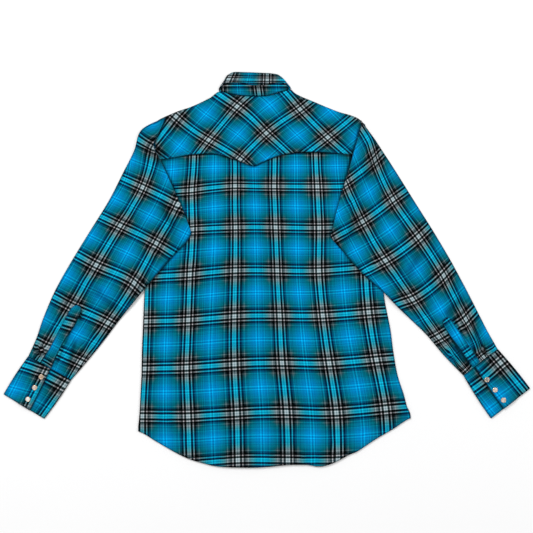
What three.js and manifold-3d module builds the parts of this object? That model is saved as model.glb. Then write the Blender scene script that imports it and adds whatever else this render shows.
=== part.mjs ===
// A western snap shirt of brushed check flannel, laid flat with its back up and its fronts under it.
// Millimetres, +Z up, the collar towards +Y and the left sleeve towards -X.
// The origin is on the surface under the shirt, at the middle of its outline.

import * as THREE from "three";
import { mergeVertices } from "three/addons/utils/BufferGeometryUtils.js";
import Module from "manifold-3d";

const wasm = await Module();
wasm.setup();

// Cloth and clearances.
const CLOTH = 1.3;
const CUFF_CLOTH = 1.7;
const SEAM_GAP = 0.3;
const LAYER = CLOTH + SEAM_GAP;

// Sizes that drive the laid-out shirt.
const FRONT_LAP = 36;
const LAP_RISE_WIDTH = 14;
const BACK_CROWN = 2.0;
const CROWN_HALF_WIDTH = 255;
const YOKE_TUCK = 12;
const FRONT_HEM_INSET = 5;
const FRONT_SHOULDER_INSET = 2;
const FRONT_SIDE_INSET = 2;
const HEM_SIDE_DROP = 28;
const BACK_TOP_Y = 250;
const YOKE_LEFT = -240;
const YOKE_RIGHT = 212;
const SNAP_CAP_RADIUS = 5.5;
const SNAP_POST_RADIUS = 2.6;
const FRONT_SNAP_COUNT = 7;
const SNAP_FIRST_Y = 190;
const SNAP_PITCH = 88;
const COLLAR_SNAP_Y = 315;
const CUFF_SNAP_SIDES = 16;
const FRONT_SNAP_SIDES = 12;
const PUNCH_LENGTH = 30;

// The shoulder slopes down from this height beside the neck, and the back's crown dies away below it.
const SHOULDER_ROOF_Y = 422;
const SHOULDER_FALL = 0.47;
const SHOULDER_EASE = 60;

// The back's folds fade where they would reach under the sleeves or the yoke.
const FOLDS_END_Y = { from: 150, to: 215 };
const FOLDS_BESIDE_SLEEVE = { from: -40, to: 60, slant: 0.4, halfWidth: 200 };
const FOLDS_IN_MIDDLE = { from: 90, to: 150 };

// Above its lower edge the yoke comes down off the back's top edge, and what lies on it follows.
const YOKE_STEP = { from: 20, to: 56 };
const STEP_UNDER_SLEEVE = { riseFrom: -34, riseTo: -12, fallFrom: 30, fallTo: 72 };

// The sleeves: clearance over the body, and the slope down to the surface past its edge.
const SLEEVE_CLEARANCE = 0.6;
const LEVEL_PAST_EDGE = 20;
const SLOPE_WIDTH = 34;
const EDGE_FOLD = 0.8;
const FOLDS_FROM_EDGE = { from: 0.02, to: 0.2 };
const FOLDS_FROM_SEAM = 0.1;
const PLACKET_LIFT = LAYER + 0.35;

// The cuffs: three layers of doubled cloth, a seam's gap from the sleeve.
const CUFF_SEAM_GAP = 0.4;
const CUFF_LAYER = CUFF_CLOTH + SEAM_GAP;
const CUFF_LOW_Z = CUFF_CLOTH / 2;
const CUFF_MIDDLE_Z = CUFF_LOW_Z + CUFF_LAYER;
const CUFF_TOP_Z = CUFF_MIDDLE_Z + CUFF_LAYER;
const CUFF_FOLD = 0.011;
const CUFF_UNDERLAP = 0.24;
const CUFF_LAP_RISE = { from: 0.14, to: 0.02 };
const CUFF_BULGE = 0.03;

// How finely each piece is divided.
const BACK_STEPS = 24;
const YOKE_SPAN_STEPS = 8;
const YOKE_ROWS = [0, 0.08, 0.16, 0.27, 0.4, 0.55, 0.7, 0.85, 1];
const FRONT_COLUMNS = [0, 0.14, 0.28, 0.42, 0.56, 0.7, 0.78, 0.84, 0.88, 0.93, 1];
const FRONT_ROWS = [0, 0.1, 0.2, 0.32, 0.44, 0.56, 0.68, 0.76, 0.82, 0.88, 0.94, 1];
const SLEEVE_STATIONS = 30;
const SLEEVE_ACROSS = [0.008, 0.05, 0.13, 0.23, 0.33, 0.43, 0.53, 0.63, 0.73, 0.83, 0.92, 0.992];
const SLEEVE_ACROSS_BELOW = [0.992, 0.9, 0.72, 0.54, 0.36, 0.18, 0.008];
const PLACKET_PLACES = [0, 0.25, 0.5, 0.75, 1, 1.5, 2, 2.5, 3, 3.5, 4];
const PLACKET_COLUMNS = 5;
const CUFF_ROWS = 5;
const CUFF_LAP_PLACES = [1, 0.8, 0.62, 0.56, 0.5, 0.44, 0.38, 0.3, 0.2, 0.1];
const CUFF_BELOW = [CUFF_FOLD, 0.25, 0.5, 0.75, 1 - CUFF_FOLD];
const CUFF_INNER_TURN = 0.92;
const COLLAR_ROWS = 4;

// Edges of the body from the tail to the shoulder. Above the armpits they lie under the sleeves.
const BODY_SIDES = [
  { y: -347, left: -277, right: 318 },
  { y: -319, left: -275, right: 310 },
  { y: -290, left: -273, right: 301 },
  { y: -267, left: -272, right: 295 },
  { y: -227, left: -270, right: 282 },
  { y: -178, left: -269, right: 273 },
  { y: -126, left: -267, right: 266 },
  { y: -58, left: -264, right: 253 },
  { y: 50, left: -258, right: 244 },
  { y: 100, left: -249, right: 231 },
  { y: 150, left: -245, right: 214 },
  { y: 200, left: -245, right: 204 },
  { y: 260, left: -250, right: 201 },
  { y: 300, left: -250, right: 208 },
  { y: 326, left: -240, right: 212 },
];

// The shirt-tail hem of the back.
const HEM = [
  { x: -277, y: -347 },
  { x: -238, y: -369 },
  { x: -199, y: -391.5 },
  { x: -171, y: -405 },
  { x: -143, y: -414 },
  { x: -105, y: -422.5 },
  { x: -42, y: -425 },
  { x: 0, y: -423.5 },
  { x: 44, y: -419.5 },
  { x: 87, y: -419 },
  { x: 108, y: -422.5 },
  { x: 125, y: -421.5 },
  { x: 149, y: -413 },
  { x: 179, y: -397 },
  { x: 194, y: -391 },
  { x: 231, y: -366.5 },
  { x: 274, y: -341 },
  { x: 310, y: -319 },
];

// The lower edge of the yoke, with its one point near the middle.
const YOKE_EDGE = [
  { x: -262, y: 236 },
  { x: -223, y: 239 },
  { x: -199, y: 242 },
  { x: -163, y: 248.5 },
  { x: -131, y: 250.5 },
  { x: -111, y: 250 },
  { x: -86, y: 243 },
  { x: -57, y: 233.5 },
  { x: -28.5, y: 224 },
  { x: -10, y: 231.5 },
  { x: 13, y: 241.5 },
  { x: 50, y: 251 },
  { x: 87, y: 254 },
  { x: 125, y: 253.5 },
  { x: 181, y: 248.5 },
  { x: 212, y: 246 },
];

// The top edge of the body: shoulder, back neckline, shoulder.
const NECK_LEFT_X = -103;
const NECK_RIGHT_X = 51.5;
const TOP_EDGE = [
  { x: -262, y: 308 },
  { x: -227, y: 327 },
  { x: -190, y: 343 },
  { x: -163, y: 352 },
  { x: -122, y: 371 },
  { x: NECK_LEFT_X, y: 384.5 },
  { x: -81, y: 381 },
  { x: -57, y: 377 },
  { x: -26, y: 374.5 },
  { x: 3, y: 376.5 },
  { x: 26, y: 383 },
  { x: NECK_RIGHT_X, y: 389 },
  { x: 60, y: 381.5 },
  { x: 76, y: 373 },
  { x: 95, y: 365.5 },
  { x: 136, y: 348.5 },
  { x: 157, y: 340.5 },
  { x: 180, y: 334 },
  { x: 197, y: 327 },
  { x: 206, y: 319 },
  { x: 220, y: 308 },
];

// The fronts' top edge dips to the front of the neck, under the yoke.
const FRONT_NECK = [
  { x: NECK_LEFT_X, y: 383 },
  { x: -92, y: 336 },
  { x: -70, y: 311 },
  { x: -45, y: 299 },
  { x: -26, y: 296 },
  { x: -7, y: 299 },
  { x: 18, y: 312 },
  { x: 40, y: 338 },
  { x: NECK_RIGHT_X, y: 386 },
];

// The middle line of the fronts, from the tail to the neck.
const CENTRE_FRONT = [
  { y: -427, x: 14 },
  { y: 300, x: -26 },
];

// The sleeves, a row for each section from the armhole seam to the cuff seam.
const SLEEVES = {
  left: [
    { outerX: -217, outerY: 328, innerX: -164, innerY: 84 },
    { outerX: -268.5, outerY: 302, innerX: -163, innerY: 78 },
    { outerX: -284.5, outerY: 258, innerX: -175, innerY: 58 },
    { outerX: -307, outerY: 214, innerX: -196, innerY: 37 },
    { outerX: -339, outerY: 151, innerX: -222, innerY: 9 },
    { outerX: -378.5, outerY: 87, innerX: -250, innerY: -24 },
    { outerX: -418.5, outerY: 22, innerX: -283, innerY: -64 },
    { outerX: -454.5, outerY: -42, innerX: -318, innerY: -107 },
    { outerX: -480.5, outerY: -102, innerX: -352, innerY: -152 },
    { outerX: -496, outerY: -147, innerX: -386, innerY: -194 },
    { outerX: -513, outerY: -185, innerX: -422, innerY: -236 },
  ],
  right: [
    { outerX: 202, outerY: 322.5, innerX: 137, innerY: 72 },
    { outerX: 217.5, outerY: 301, innerX: 146, innerY: 61 },
    { outerX: 248, outerY: 258, innerX: 164, innerY: 41 },
    { outerX: 276, outerY: 215, innerX: 184, innerY: 17 },
    { outerX: 316, outerY: 151, innerX: 212, innerY: -13 },
    { outerX: 357, outerY: 86, innerX: 245.5, innerY: -41 },
    { outerX: 395, outerY: 22, innerX: 277, innerY: -73.5 },
    { outerX: 429.5, outerY: -42, innerX: 312, innerY: -107 },
    { outerX: 456, outerY: -94, innerX: 345, innerY: -139 },
    { outerX: 475.5, outerY: -132, innerX: 384, innerY: -185 },
    { outerX: 497, outerY: -170, innerX: 424, innerY: -226 },
  ],
};

// How far each armhole seam bows outward from its straight chord. The left shoulder lies turned back,
// so the cap of its sleeve shows and its seam bows out round the cap.
const SEAM_BOW = {
  left: [
    { across: 0, out: 0 },
    { across: 0.07, out: 12.5 },
    { across: 0.135, out: 25 },
    { across: 0.185, out: 36.5 },
    { across: 0.235, out: 38 },
    { across: 0.31, out: 32.5 },
    { across: 0.44, out: 25 },
    { across: 0.62, out: 15.5 },
    { across: 0.85, out: 4 },
    { across: 1, out: 0 },
  ],
  right: [
    { across: 0, out: 0 },
    { across: 0.04, out: 4 },
    { across: 0.12, out: 3.2 },
    { across: 0.3, out: 2 },
    { across: 0.5, out: 1 },
    { across: 0.75, out: -2 },
    { across: 1, out: 0 },
  ],
};
const BOW_FADE = 0.14;
const BOW_ASIDE = 0.97;
const BOW_DOWN = 0.25;

// How full each sleeve lies, from the armhole seam (0) to the cuff seam (1).
const SLEEVE_FULLNESS = [
  { along: 0, rise: 0.4 },
  { along: 0.12, rise: 2.6 },
  { along: 0.35, rise: 3.4 },
  { along: 0.6, rise: 3.0 },
  { along: 0.85, rise: 3.4 },
  { along: 1, rise: 1.3 },
];

// The largest folds, as soft ridges from one end to the other.
const BACK_FOLDS = [
  { x0: -205, y0: -20, x1: -165, y1: -300, wide: 20, high: 1.9 },
  { x0: -70, y0: 190, x1: -95, y1: -120, wide: 24, high: 1.5 },
  { x0: -60, y0: -170, x1: -85, y1: -410, wide: 22, high: 1.8 },
  { x0: 60, y0: 180, x1: 40, y1: -60, wide: 24, high: 1.5 },
  { x0: 95, y0: -90, x1: 120, y1: -405, wide: 22, high: 2.0 },
  { x0: 205, y0: -70, x1: 235, y1: -310, wide: 18, high: 1.8 },
];
const SLEEVE_FOLDS = {
  left: [
    { x0: -300, y0: 160, x1: -225, y1: 70, wide: 15, high: 3.2 },
    { x0: -262, y0: 235, x1: -212, y1: 120, wide: 14, high: 2.6 },
    { x0: -330, y0: -40, x1: -425, y1: -20, wide: 14, high: 3.0 },
    { x0: -375, y0: -125, x1: -440, y1: -45, wide: 12, high: 2.6 },
    { x0: -480, y0: -168, x1: -462, y1: -125, wide: 8, high: 2.4 },
    { x0: -440, y0: -215, x1: -412, y1: -165, wide: 8, high: 2.4 },
  ],
  right: [
    { x0: 262, y0: 160, x1: 205, y1: 60, wide: 15, high: 3.2 },
    { x0: 226, y0: 240, x1: 186, y1: 120, wide: 14, high: 2.6 },
    { x0: 300, y0: -30, x1: 395, y1: -15, wide: 14, high: 2.8 },
    { x0: 402, y0: -62, x1: 458, y1: -170, wide: 10, high: 3.0 },
    { x0: 352, y0: -112, x1: 404, y1: -188, wide: 10, high: 2.4 },
    { x0: 482, y0: -158, x1: 462, y1: -112, wide: 8, high: 2.2 },
  ],
};

// Each placket on its sleeve: place along the sleeve's sections and reach across it.
const PLACKETS = {
  left: [
    { section: 7.14, from: 0.375, to: 0.435 },
    { section: 7.34, from: 0.325, to: 0.485 },
    { section: 8, from: 0.312, to: 0.482 },
    { section: 9, from: 0.298, to: 0.465 },
    { section: 9.9, from: 0.29, to: 0.535 },
  ],
  right: [
    { section: 7.6, from: 0.51, to: 0.56 },
    { section: 7.74, from: 0.48, to: 0.635 },
    { section: 8.1, from: 0.481, to: 0.665 },
    { section: 9, from: 0.485, to: 0.672 },
    { section: 9.9, from: 0.5, to: 0.72 },
  ],
};

// The cuffs: corners at the open end, and the lap's edge across them.
const CUFFS = {
  left: {
    endOuter: [-566.5, -267.5],
    endInner: [-480, -319.5],
    lapAtSeam: 0.52,
    lapAtEnd: 0.65,
    snaps: [
      { x: -484.5, y: -229 },
      { x: -498.5, y: -252 },
      { x: -513, y: -277 },
    ],
  },
  right: {
    endOuter: [567, -255],
    endInner: [483.5, -319],
    lapAtSeam: 0.68,
    lapAtEnd: 0.68,
    snaps: [
      { x: 473, y: -235 },
      { x: 490.5, y: -257 },
      { x: 508.5, y: -279 },
    ],
  },
};

// The collar, a row for each place round the neck from the left front end to the right one.
// A place lies at the front, in the fold at the side of the neck, or at the back.
const FRONT_LEAF_Z = CLOTH / 2;
const FRONT_STAND_Z = FRONT_LEAF_Z + LAYER;
const BACK_STAND_Z = 5.7;
const BACK_LEAF_Z = BACK_STAND_Z + LAYER;
const STAND = [
  { topX: -8, topY: 331, lowX: -9, lowY: 302.5, z: FRONT_STAND_Z },
  { topX: -26, topY: 329, lowX: -26, lowY: 298.5, z: FRONT_STAND_Z },
  { topX: -46, topY: 335, lowX: -45, lowY: 302.5, z: FRONT_STAND_Z },
  { topX: -67, topY: 356, lowX: -69, lowY: 317, z: FRONT_STAND_Z },
  { topX: -78, topY: 388, lowX: -90, lowY: 346, z: FRONT_STAND_Z },
  { topX: -83, topY: 402, lowX: -97.5, lowY: 372, z: FRONT_STAND_Z },
  { topX: -83.8, topY: 408, lowX: -99, lowY: 385, z: FRONT_STAND_Z },
  { topX: -84, topY: 411, lowX: -99.8, lowY: 388.8, z: (FRONT_STAND_Z + BACK_STAND_Z) / 2 },
  { topX: -79, topY: 415, lowX: -96, lowY: 387.5, z: BACK_STAND_Z - 0.5 },
  { topX: -68, topY: 418, lowX: -80, lowY: 382.5, z: BACK_STAND_Z },
  { topX: -48, topY: 419, lowX: -55, lowY: 378.5, z: BACK_STAND_Z },
  { topX: -26, topY: 418, lowX: -26, lowY: 376.5, z: BACK_STAND_Z },
  { topX: 0, topY: 417, lowX: 3, lowY: 378.5, z: BACK_STAND_Z },
  { topX: 20, topY: 414, lowX: 27, lowY: 385.5, z: BACK_STAND_Z },
  { topX: 31, topY: 408, lowX: 43, lowY: 389.5, z: BACK_STAND_Z - 0.5 },
  { topX: 34, topY: 404, lowX: 46.8, lowY: 392.5, z: (FRONT_STAND_Z + BACK_STAND_Z) / 2 },
  { topX: 33.8, topY: 401, lowX: 46.2, lowY: 388, z: FRONT_STAND_Z },
  { topX: 33, topY: 394, lowX: 45.5, lowY: 374, z: FRONT_STAND_Z },
  { topX: 27, topY: 380, lowX: 38, lowY: 348, z: FRONT_STAND_Z },
  { topX: 14, topY: 353, lowX: 17, lowY: 318, z: FRONT_STAND_Z + LAYER },
  { topX: -6, topY: 336, lowX: -7, lowY: 303.5, z: FRONT_STAND_Z + LAYER },
  { topX: -26, topY: 330, lowX: -26, lowY: 299.5, z: FRONT_STAND_Z + LAYER },
  { topX: -40, topY: 333, lowX: -40, lowY: 302, z: FRONT_STAND_Z + LAYER },
];
const LEAF = [
  { topX: -31, topY: 334, lowX: -64, lowY: 264, z: FRONT_LEAF_Z },
  { topX: -50, topY: 345, lowX: -82, lowY: 296, z: FRONT_LEAF_Z },
  { topX: -68, topY: 366, lowX: -94, lowY: 330, z: FRONT_LEAF_Z },
  { topX: -79, topY: 396, lowX: -100, lowY: 362, z: FRONT_LEAF_Z },
  { topX: -84, topY: 411, lowX: -102, lowY: 380, z: FRONT_LEAF_Z },
  { topX: -86, topY: 414, lowX: -102.6, lowY: 385.5, z: FRONT_LEAF_Z },
  { topX: -86.5, topY: 416.5, lowX: -102.8, lowY: 390.5, z: (FRONT_LEAF_Z + BACK_LEAF_Z) / 2 },
  { topX: -83, topY: 420, lowX: -99, lowY: 394, z: BACK_LEAF_Z - 1 },
  { topX: -75, topY: 424.5, lowX: -88, lowY: 401, z: BACK_LEAF_Z },
  { topX: -66, topY: 426, lowX: -71, lowY: 403, z: BACK_LEAF_Z },
  { topX: -50, topY: 425.5, lowX: -51, lowY: 401.5, z: BACK_LEAF_Z },
  { topX: -32, topY: 425, lowX: -33, lowY: 397, z: BACK_LEAF_Z },
  { topX: -10, topY: 424, lowX: -9, lowY: 397, z: BACK_LEAF_Z },
  { topX: 8, topY: 423, lowX: 9, lowY: 400.5, z: BACK_LEAF_Z },
  { topX: 23, topY: 420.5, lowX: 26, lowY: 403, z: BACK_LEAF_Z },
  { topX: 33, topY: 414, lowX: 40, lowY: 401, z: BACK_LEAF_Z - 0.6 },
  { topX: 39, topY: 408, lowX: 48, lowY: 395, z: BACK_LEAF_Z - 1.6 },
  { topX: 40.5, topY: 405, lowX: 51.2, lowY: 393, z: (FRONT_LEAF_Z + BACK_LEAF_Z) / 2 },
  { topX: 40, topY: 402, lowX: 51, lowY: 387.5, z: FRONT_LEAF_Z },
  { topX: 38, topY: 400, lowX: 50.5, lowY: 381, z: FRONT_LEAF_Z },
  { topX: 30, topY: 386, lowX: 48, lowY: 362, z: FRONT_LEAF_Z },
  { topX: 17, topY: 363, lowX: 42, lowY: 330, z: FRONT_LEAF_Z },
  { topX: 0, topY: 345, lowX: 30, lowY: 296, z: FRONT_LEAF_Z },
  { topX: -21, topY: 334, lowX: 12, lowY: 264, z: FRONT_LEAF_Z },
];
const COLLAR_CENTRE_X = -26;
const COLLAR_CENTRE_Y = 340;
const COLLAR_REACH = 100;

// Small tools for values that run along a table.

function smooth(from, to, value) {
  const t = Math.min(Math.max((value - from) / (to - from), 0), 1);
  return t * t * (3 - 2 * t);
}

function mix(a, b, t) {
  return a + (b - a) * t;
}

// A straight-line reading of one column of a table against another.
function readTable(rows, keyName, valueName, key) {
  let i = 0;
  while (i < rows.length - 2 && key > rows[i + 1][keyName]) {
    i += 1;
  }
  const a = rows[i];
  const b = rows[i + 1];
  const t = Math.min(Math.max((key - a[keyName]) / (b[keyName] - a[keyName]), 0), 1);
  return mix(a[valueName], b[valueName], t);
}

// A smooth reading of a whole row at a place between rows.
function readRow(rows, place) {
  const i = Math.min(Math.floor(place), rows.length - 2);
  const t = place - i;
  const before = rows[Math.max(i - 1, 0)];
  const a = rows[i];
  const b = rows[i + 1];
  const after = rows[Math.min(i + 2, rows.length - 1)];
  const row = {};
  for (const name of Object.keys(a)) {
    const slopeA = (b[name] - before[name]) / 2;
    const slopeB = (after[name] - a[name]) / 2;
    const h1 = (1 + 2 * t) * (1 - t) * (1 - t);
    const h2 = t * (1 - t) * (1 - t);
    const h3 = t * t * (3 - 2 * t);
    const h4 = t * t * (t - 1);
    row[name] = h1 * a[name] + h2 * slopeA + h3 * b[name] + h4 * slopeB;
  }
  return row;
}

// Places from 0 to 1 in equal steps.
function steps(count) {
  return Array.from({ length: count + 1 }, (_, i) => i / count);
}

// The height that a list of soft ridges adds at one place.
function foldHeight(folds, x, y) {
  let height = 0;
  for (const fold of folds) {
    const dx = fold.x1 - fold.x0;
    const dy = fold.y1 - fold.y0;
    const length = Math.hypot(dx, dy);
    const along = ((x - fold.x0) * dx + (y - fold.y0) * dy) / (length * length);
    const off = ((x - fold.x0) * dy - (y - fold.y0) * dx) / length;
    const ends = smooth(-0.12, 0.25, along) * (1 - smooth(0.75, 1.12, along));
    height += fold.high * ends * Math.exp(-((off / fold.wide) ** 2));
  }
  return height;
}

// A cloth wall: a grid of points through its middle, given its thickness along its normals.
// A closed grid joins its last column to its first, as a tube's rings do.
function clothWall(grid, thickness, closed = false) {
  const rows = grid.length;
  const columns = grid[0].length;
  const positions = [];
  const half = thickness / 2;
  const columnAt = (j) => (closed ? (j + columns) % columns : Math.min(Math.max(j, 0), columns - 1));
  for (const side of [half, -half]) {
    for (let i = 0; i < rows; i += 1) {
      for (let j = 0; j < columns; j += 1) {
        const across = grid[i][columnAt(j + 1)].clone().sub(grid[i][columnAt(j - 1)]);
        const along = grid[Math.min(i + 1, rows - 1)][j].clone().sub(grid[Math.max(i - 1, 0)][j]);
        const normal = across.cross(along).normalize();
        const point = grid[i][j].clone().addScaledVector(normal, side);
        positions.push(point.x, point.y, point.z);
      }
    }
  }
  const top = (i, j) => i * columns + columnAt(j);
  const bottom = (i, j) => rows * columns + i * columns + columnAt(j);
  const triangles = [];
  const quad = (a, b, c, d) => triangles.push(a, b, c, a, c, d);
  const spans = closed ? columns : columns - 1;
  for (let i = 0; i < rows - 1; i += 1) {
    for (let j = 0; j < spans; j += 1) {
      quad(top(i, j), top(i, j + 1), top(i + 1, j + 1), top(i + 1, j));
      quad(bottom(i, j), bottom(i + 1, j), bottom(i + 1, j + 1), bottom(i, j + 1));
    }
  }
  for (let j = 0; j < spans; j += 1) {
    quad(bottom(0, j), bottom(0, j + 1), top(0, j + 1), top(0, j));
    quad(top(rows - 1, j), top(rows - 1, j + 1), bottom(rows - 1, j + 1), bottom(rows - 1, j));
  }
  if (!closed) {
    const last = columns - 1;
    for (let i = 0; i < rows - 1; i += 1) {
      quad(top(i, 0), top(i + 1, 0), bottom(i + 1, 0), bottom(i, 0));
      quad(bottom(i, last), bottom(i + 1, last), top(i + 1, last), top(i, last));
    }
  }
  const geometry = new THREE.BufferGeometry();
  geometry.setAttribute("position", new THREE.Float32BufferAttribute(positions, 3));
  geometry.setIndex(triangles);
  return geometry;
}

function toSolid(geometry) {
  const bare = geometry.clone();
  bare.deleteAttribute("normal");
  bare.deleteAttribute("uv");
  const merged = mergeVertices(bare);
  const vertProperties = new Float32Array(merged.attributes.position.array);
  const triVerts = new Uint32Array(merged.index.array);
  return new wasm.Manifold(new wasm.Mesh({ numProp: 3, vertProperties, triVerts }));
}

function toGeometry(solid) {
  const mesh = solid.getMesh();
  const geometry = new THREE.BufferGeometry();
  geometry.setAttribute("position", new THREE.Float32BufferAttribute(mesh.vertProperties, 3));
  geometry.setIndex(new THREE.Uint32BufferAttribute(mesh.triVerts, 1));
  return geometry;
}

// Heights of the layers. The fronts lie on the surface and step up over the collar's points.

function overCollar(x, y) {
  const reach = Math.hypot(x - COLLAR_CENTRE_X, y - COLLAR_CENTRE_Y) / COLLAR_REACH;
  return LAYER * (1 - smooth(1, 1.4, reach));
}

function shoulderDepth(x, y) {
  return SHOULDER_ROOF_Y - SHOULDER_FALL * Math.abs(x - COLLAR_CENTRE_X) - y;
}

// The underside of the cloth that lies on the fronts.
function backUnderside(x, y) {
  const across = Math.min(Math.abs(x) / CROWN_HALF_WIDTH, 1);
  const crown = BACK_CROWN * (1 - across * across) ** 2;
  const nearShoulder = smooth(0, SHOULDER_EASE, shoulderDepth(x, y));
  const beside = FOLDS_BESIDE_SLEEVE;
  const clearOfSleeves = 1 - smooth(beside.from, beside.to, y - beside.slant * (beside.halfWidth - Math.abs(x)));
  const inMiddle = 1 - smooth(FOLDS_IN_MIDDLE.from, FOLDS_IN_MIDDLE.to, Math.abs(x));
  const belowYoke = 1 - smooth(FOLDS_END_Y.from, FOLDS_END_Y.to, y);
  const folds = foldHeight(BACK_FOLDS, x, y) * Math.max(clearOfSleeves, inMiddle) * belowYoke;
  return LAYER + crown * nearShoulder + overCollar(x, y) + folds;
}

// How far the yoke is lifted by the back's top edge under it.
function yokeLift(x, y) {
  const depth = y - readTable(YOKE_EDGE, "x", "y", x);
  return LAYER * (1 - smooth(YOKE_STEP.from, YOKE_STEP.to, depth));
}

// The top of the body's cloth, eased across the yoke's edge so that a sleeve can lie on it.
function bodyTop(x, y) {
  const depth = y - readTable(YOKE_EDGE, "x", "y", x);
  const { riseFrom, riseTo, fallFrom, fallTo } = STEP_UNDER_SLEEVE;
  const step = smooth(riseFrom, riseTo, depth) * (1 - smooth(fallFrom, fallTo, depth));
  return backUnderside(x, y) + CLOTH + LAYER * step;
}

// What a sleeve lies on: the body, and past the body's edge a slope down to the surface.
function sleeveUnderside(x, y) {
  const left = readTable(BODY_SIDES, "y", "left", y);
  const right = readTable(BODY_SIDES, "y", "right", y);
  const past = Math.max(left - x, x - right, 0);
  const nearX = Math.min(Math.max(x, left), right);
  const height = bodyTop(nearX, y) + SLEEVE_CLEARANCE;
  return height * (1 - smooth(LEVEL_PAST_EDGE, LEVEL_PAST_EDGE + SLOPE_WIDTH, past));
}

// The panels of the body.

function bodyX(y, across) {
  const left = readTable(BODY_SIDES, "y", "left", y);
  const right = readTable(BODY_SIDES, "y", "right", y);
  return mix(left, right, across);
}

function makeBack() {
  const columns = steps(BACK_STEPS);
  const rows = steps(BACK_STEPS);
  const grid = rows.map((v) => columns.map((u) => {
    const hemX = mix(HEM[0].x, HEM[HEM.length - 1].x, u);
    const hemY = readTable(HEM, "x", "y", hemX);
    const topX = bodyX(BACK_TOP_Y, u);
    const topY = readTable(YOKE_EDGE, "x", "y", topX) + YOKE_TUCK;
    const y = mix(hemY, topY, v);
    const sideY = Math.max(y, mix(HEM[0].y, HEM[HEM.length - 1].y, u));
    const x = mix(hemX, bodyX(sideY, u), smooth(0, HEM_SIDE_DROP, y - hemY));
    return new THREE.Vector3(x, y, backUnderside(x, y) + CLOTH / 2);
  }));
  return clothWall(grid, CLOTH);
}

// The yoke's ends lie under the sleeves.
function makeYoke() {
  const spans = steps(YOKE_SPAN_STEPS);
  const columns = [
    ...spans.map((t) => mix(YOKE_LEFT, NECK_LEFT_X, t)),
    ...spans.slice(1).map((t) => mix(NECK_LEFT_X, NECK_RIGHT_X, t)),
    ...spans.slice(1).map((t) => mix(NECK_RIGHT_X, YOKE_RIGHT, t)),
  ];
  const grid = YOKE_ROWS.map((v) => columns.map((x) => {
    const low = readTable(YOKE_EDGE, "x", "y", x);
    const high = readTable(TOP_EDGE, "x", "y", x);
    const y = mix(low, high, v);
    return new THREE.Vector3(x, y, backUnderside(x, y) + yokeLift(x, y) + CLOTH / 2);
  }));
  return clothWall(grid, CLOTH);
}

// A front runs from the middle of the shirt to its side. The right one laps over the left one.
function makeFront(side) {
  const toward = side === "left" ? 1 : -1;
  const centreAt = (y) => readTable(CENTRE_FRONT, "y", "x", y);
  const edgeAt = (y) => readTable(BODY_SIDES, "y", side, y);
  const grid = FRONT_ROWS.map((v) => FRONT_COLUMNS.map((u) => {
    let x = 0;
    let y = 0;
    for (let pass = 0; pass < 4; pass += 1) {
      const middle = centreAt(y) + toward * FRONT_LAP / 2;
      x = mix(edgeAt(y) + toward * FRONT_SIDE_INSET, middle, u);
      const low = readTable(HEM, "x", "y", x) + FRONT_HEM_INSET;
      const shoulder = readTable(TOP_EDGE, "x", "y", x) - FRONT_SHOULDER_INSET;
      const neck = readTable(FRONT_NECK, "x", "y", x);
      const atNeck = x > NECK_LEFT_X && x < NECK_RIGHT_X;
      y = mix(low, atNeck ? neck : shoulder, v);
    }
    const pastLap = x - centreAt(y) - FRONT_LAP / 2;
    const lap = side === "right" ? 1 - smooth(FRONT_SIDE_INSET, LAP_RISE_WIDTH, pastLap) : 0;
    return new THREE.Vector3(x, y, CLOTH / 2 + overCollar(x, y) + LAYER * lap);
  }));
  const ordered = side === "left" ? grid : grid.map((row) => row.slice().reverse());
  return clothWall(ordered, CLOTH);
}

// The sleeves.

// A point on a sleeve's middle plane: along from seam to cuff, across from outer to inner edge.
function sleevePlan(side, along, across) {
  const rows = SLEEVES[side];
  const row = readRow(rows, along * (rows.length - 1));
  const bow = readTable(SEAM_BOW[side], "across", "out", across) * Math.exp(-along / BOW_FADE);
  const outward = side === "left" ? -1 : 1;
  const x = mix(row.outerX, row.innerX, across) + outward * bow * BOW_ASIDE;
  const y = mix(row.outerY, row.innerY, across) - bow * BOW_DOWN;
  return { x, y };
}

// The middle of the sleeve's upper wall, above the underside of the sleeve.
function sleeveUpper(side, along, across) {
  const { x, y } = sleevePlan(side, along, across);
  const rise = readTable(SLEEVE_FULLNESS, "along", "rise", along);
  const full = rise * Math.sqrt(Math.max(Math.sin(Math.PI * across), 0));
  const fromEdge = Math.min(across, 1 - across);
  const inside = smooth(FOLDS_FROM_EDGE.from, FOLDS_FROM_EDGE.to, fromEdge) * smooth(0, FOLDS_FROM_SEAM, along);
  const folds = foldHeight(SLEEVE_FOLDS[side], x, y) * inside;
  const z = sleeveUnderside(x, y) + CLOTH / 2 + 2 * EDGE_FOLD + full + folds;
  return new THREE.Vector3(x, y, z);
}

function sleeveLower(side, along, across) {
  const { x, y } = sleevePlan(side, along, across);
  return new THREE.Vector3(x, y, sleeveUnderside(x, y) + CLOTH / 2);
}

function makeSleeve(side) {
  const grid = steps(SLEEVE_STATIONS).map((along) => {
    const ring = [];
    const outer = sleeveLower(side, along, 0);
    const inner = sleeveLower(side, along, 1);
    outer.z += EDGE_FOLD;
    inner.z += EDGE_FOLD;
    ring.push(outer);
    for (const across of SLEEVE_ACROSS) {
      ring.push(sleeveUpper(side, along, across));
    }
    ring.push(inner);
    for (const across of SLEEVE_ACROSS_BELOW) {
      ring.push(sleeveLower(side, along, across));
    }
    return ring;
  });
  if (side === "left") {
    grid.reverse();
  }
  return clothWall(grid, CLOTH, true);
}

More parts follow.
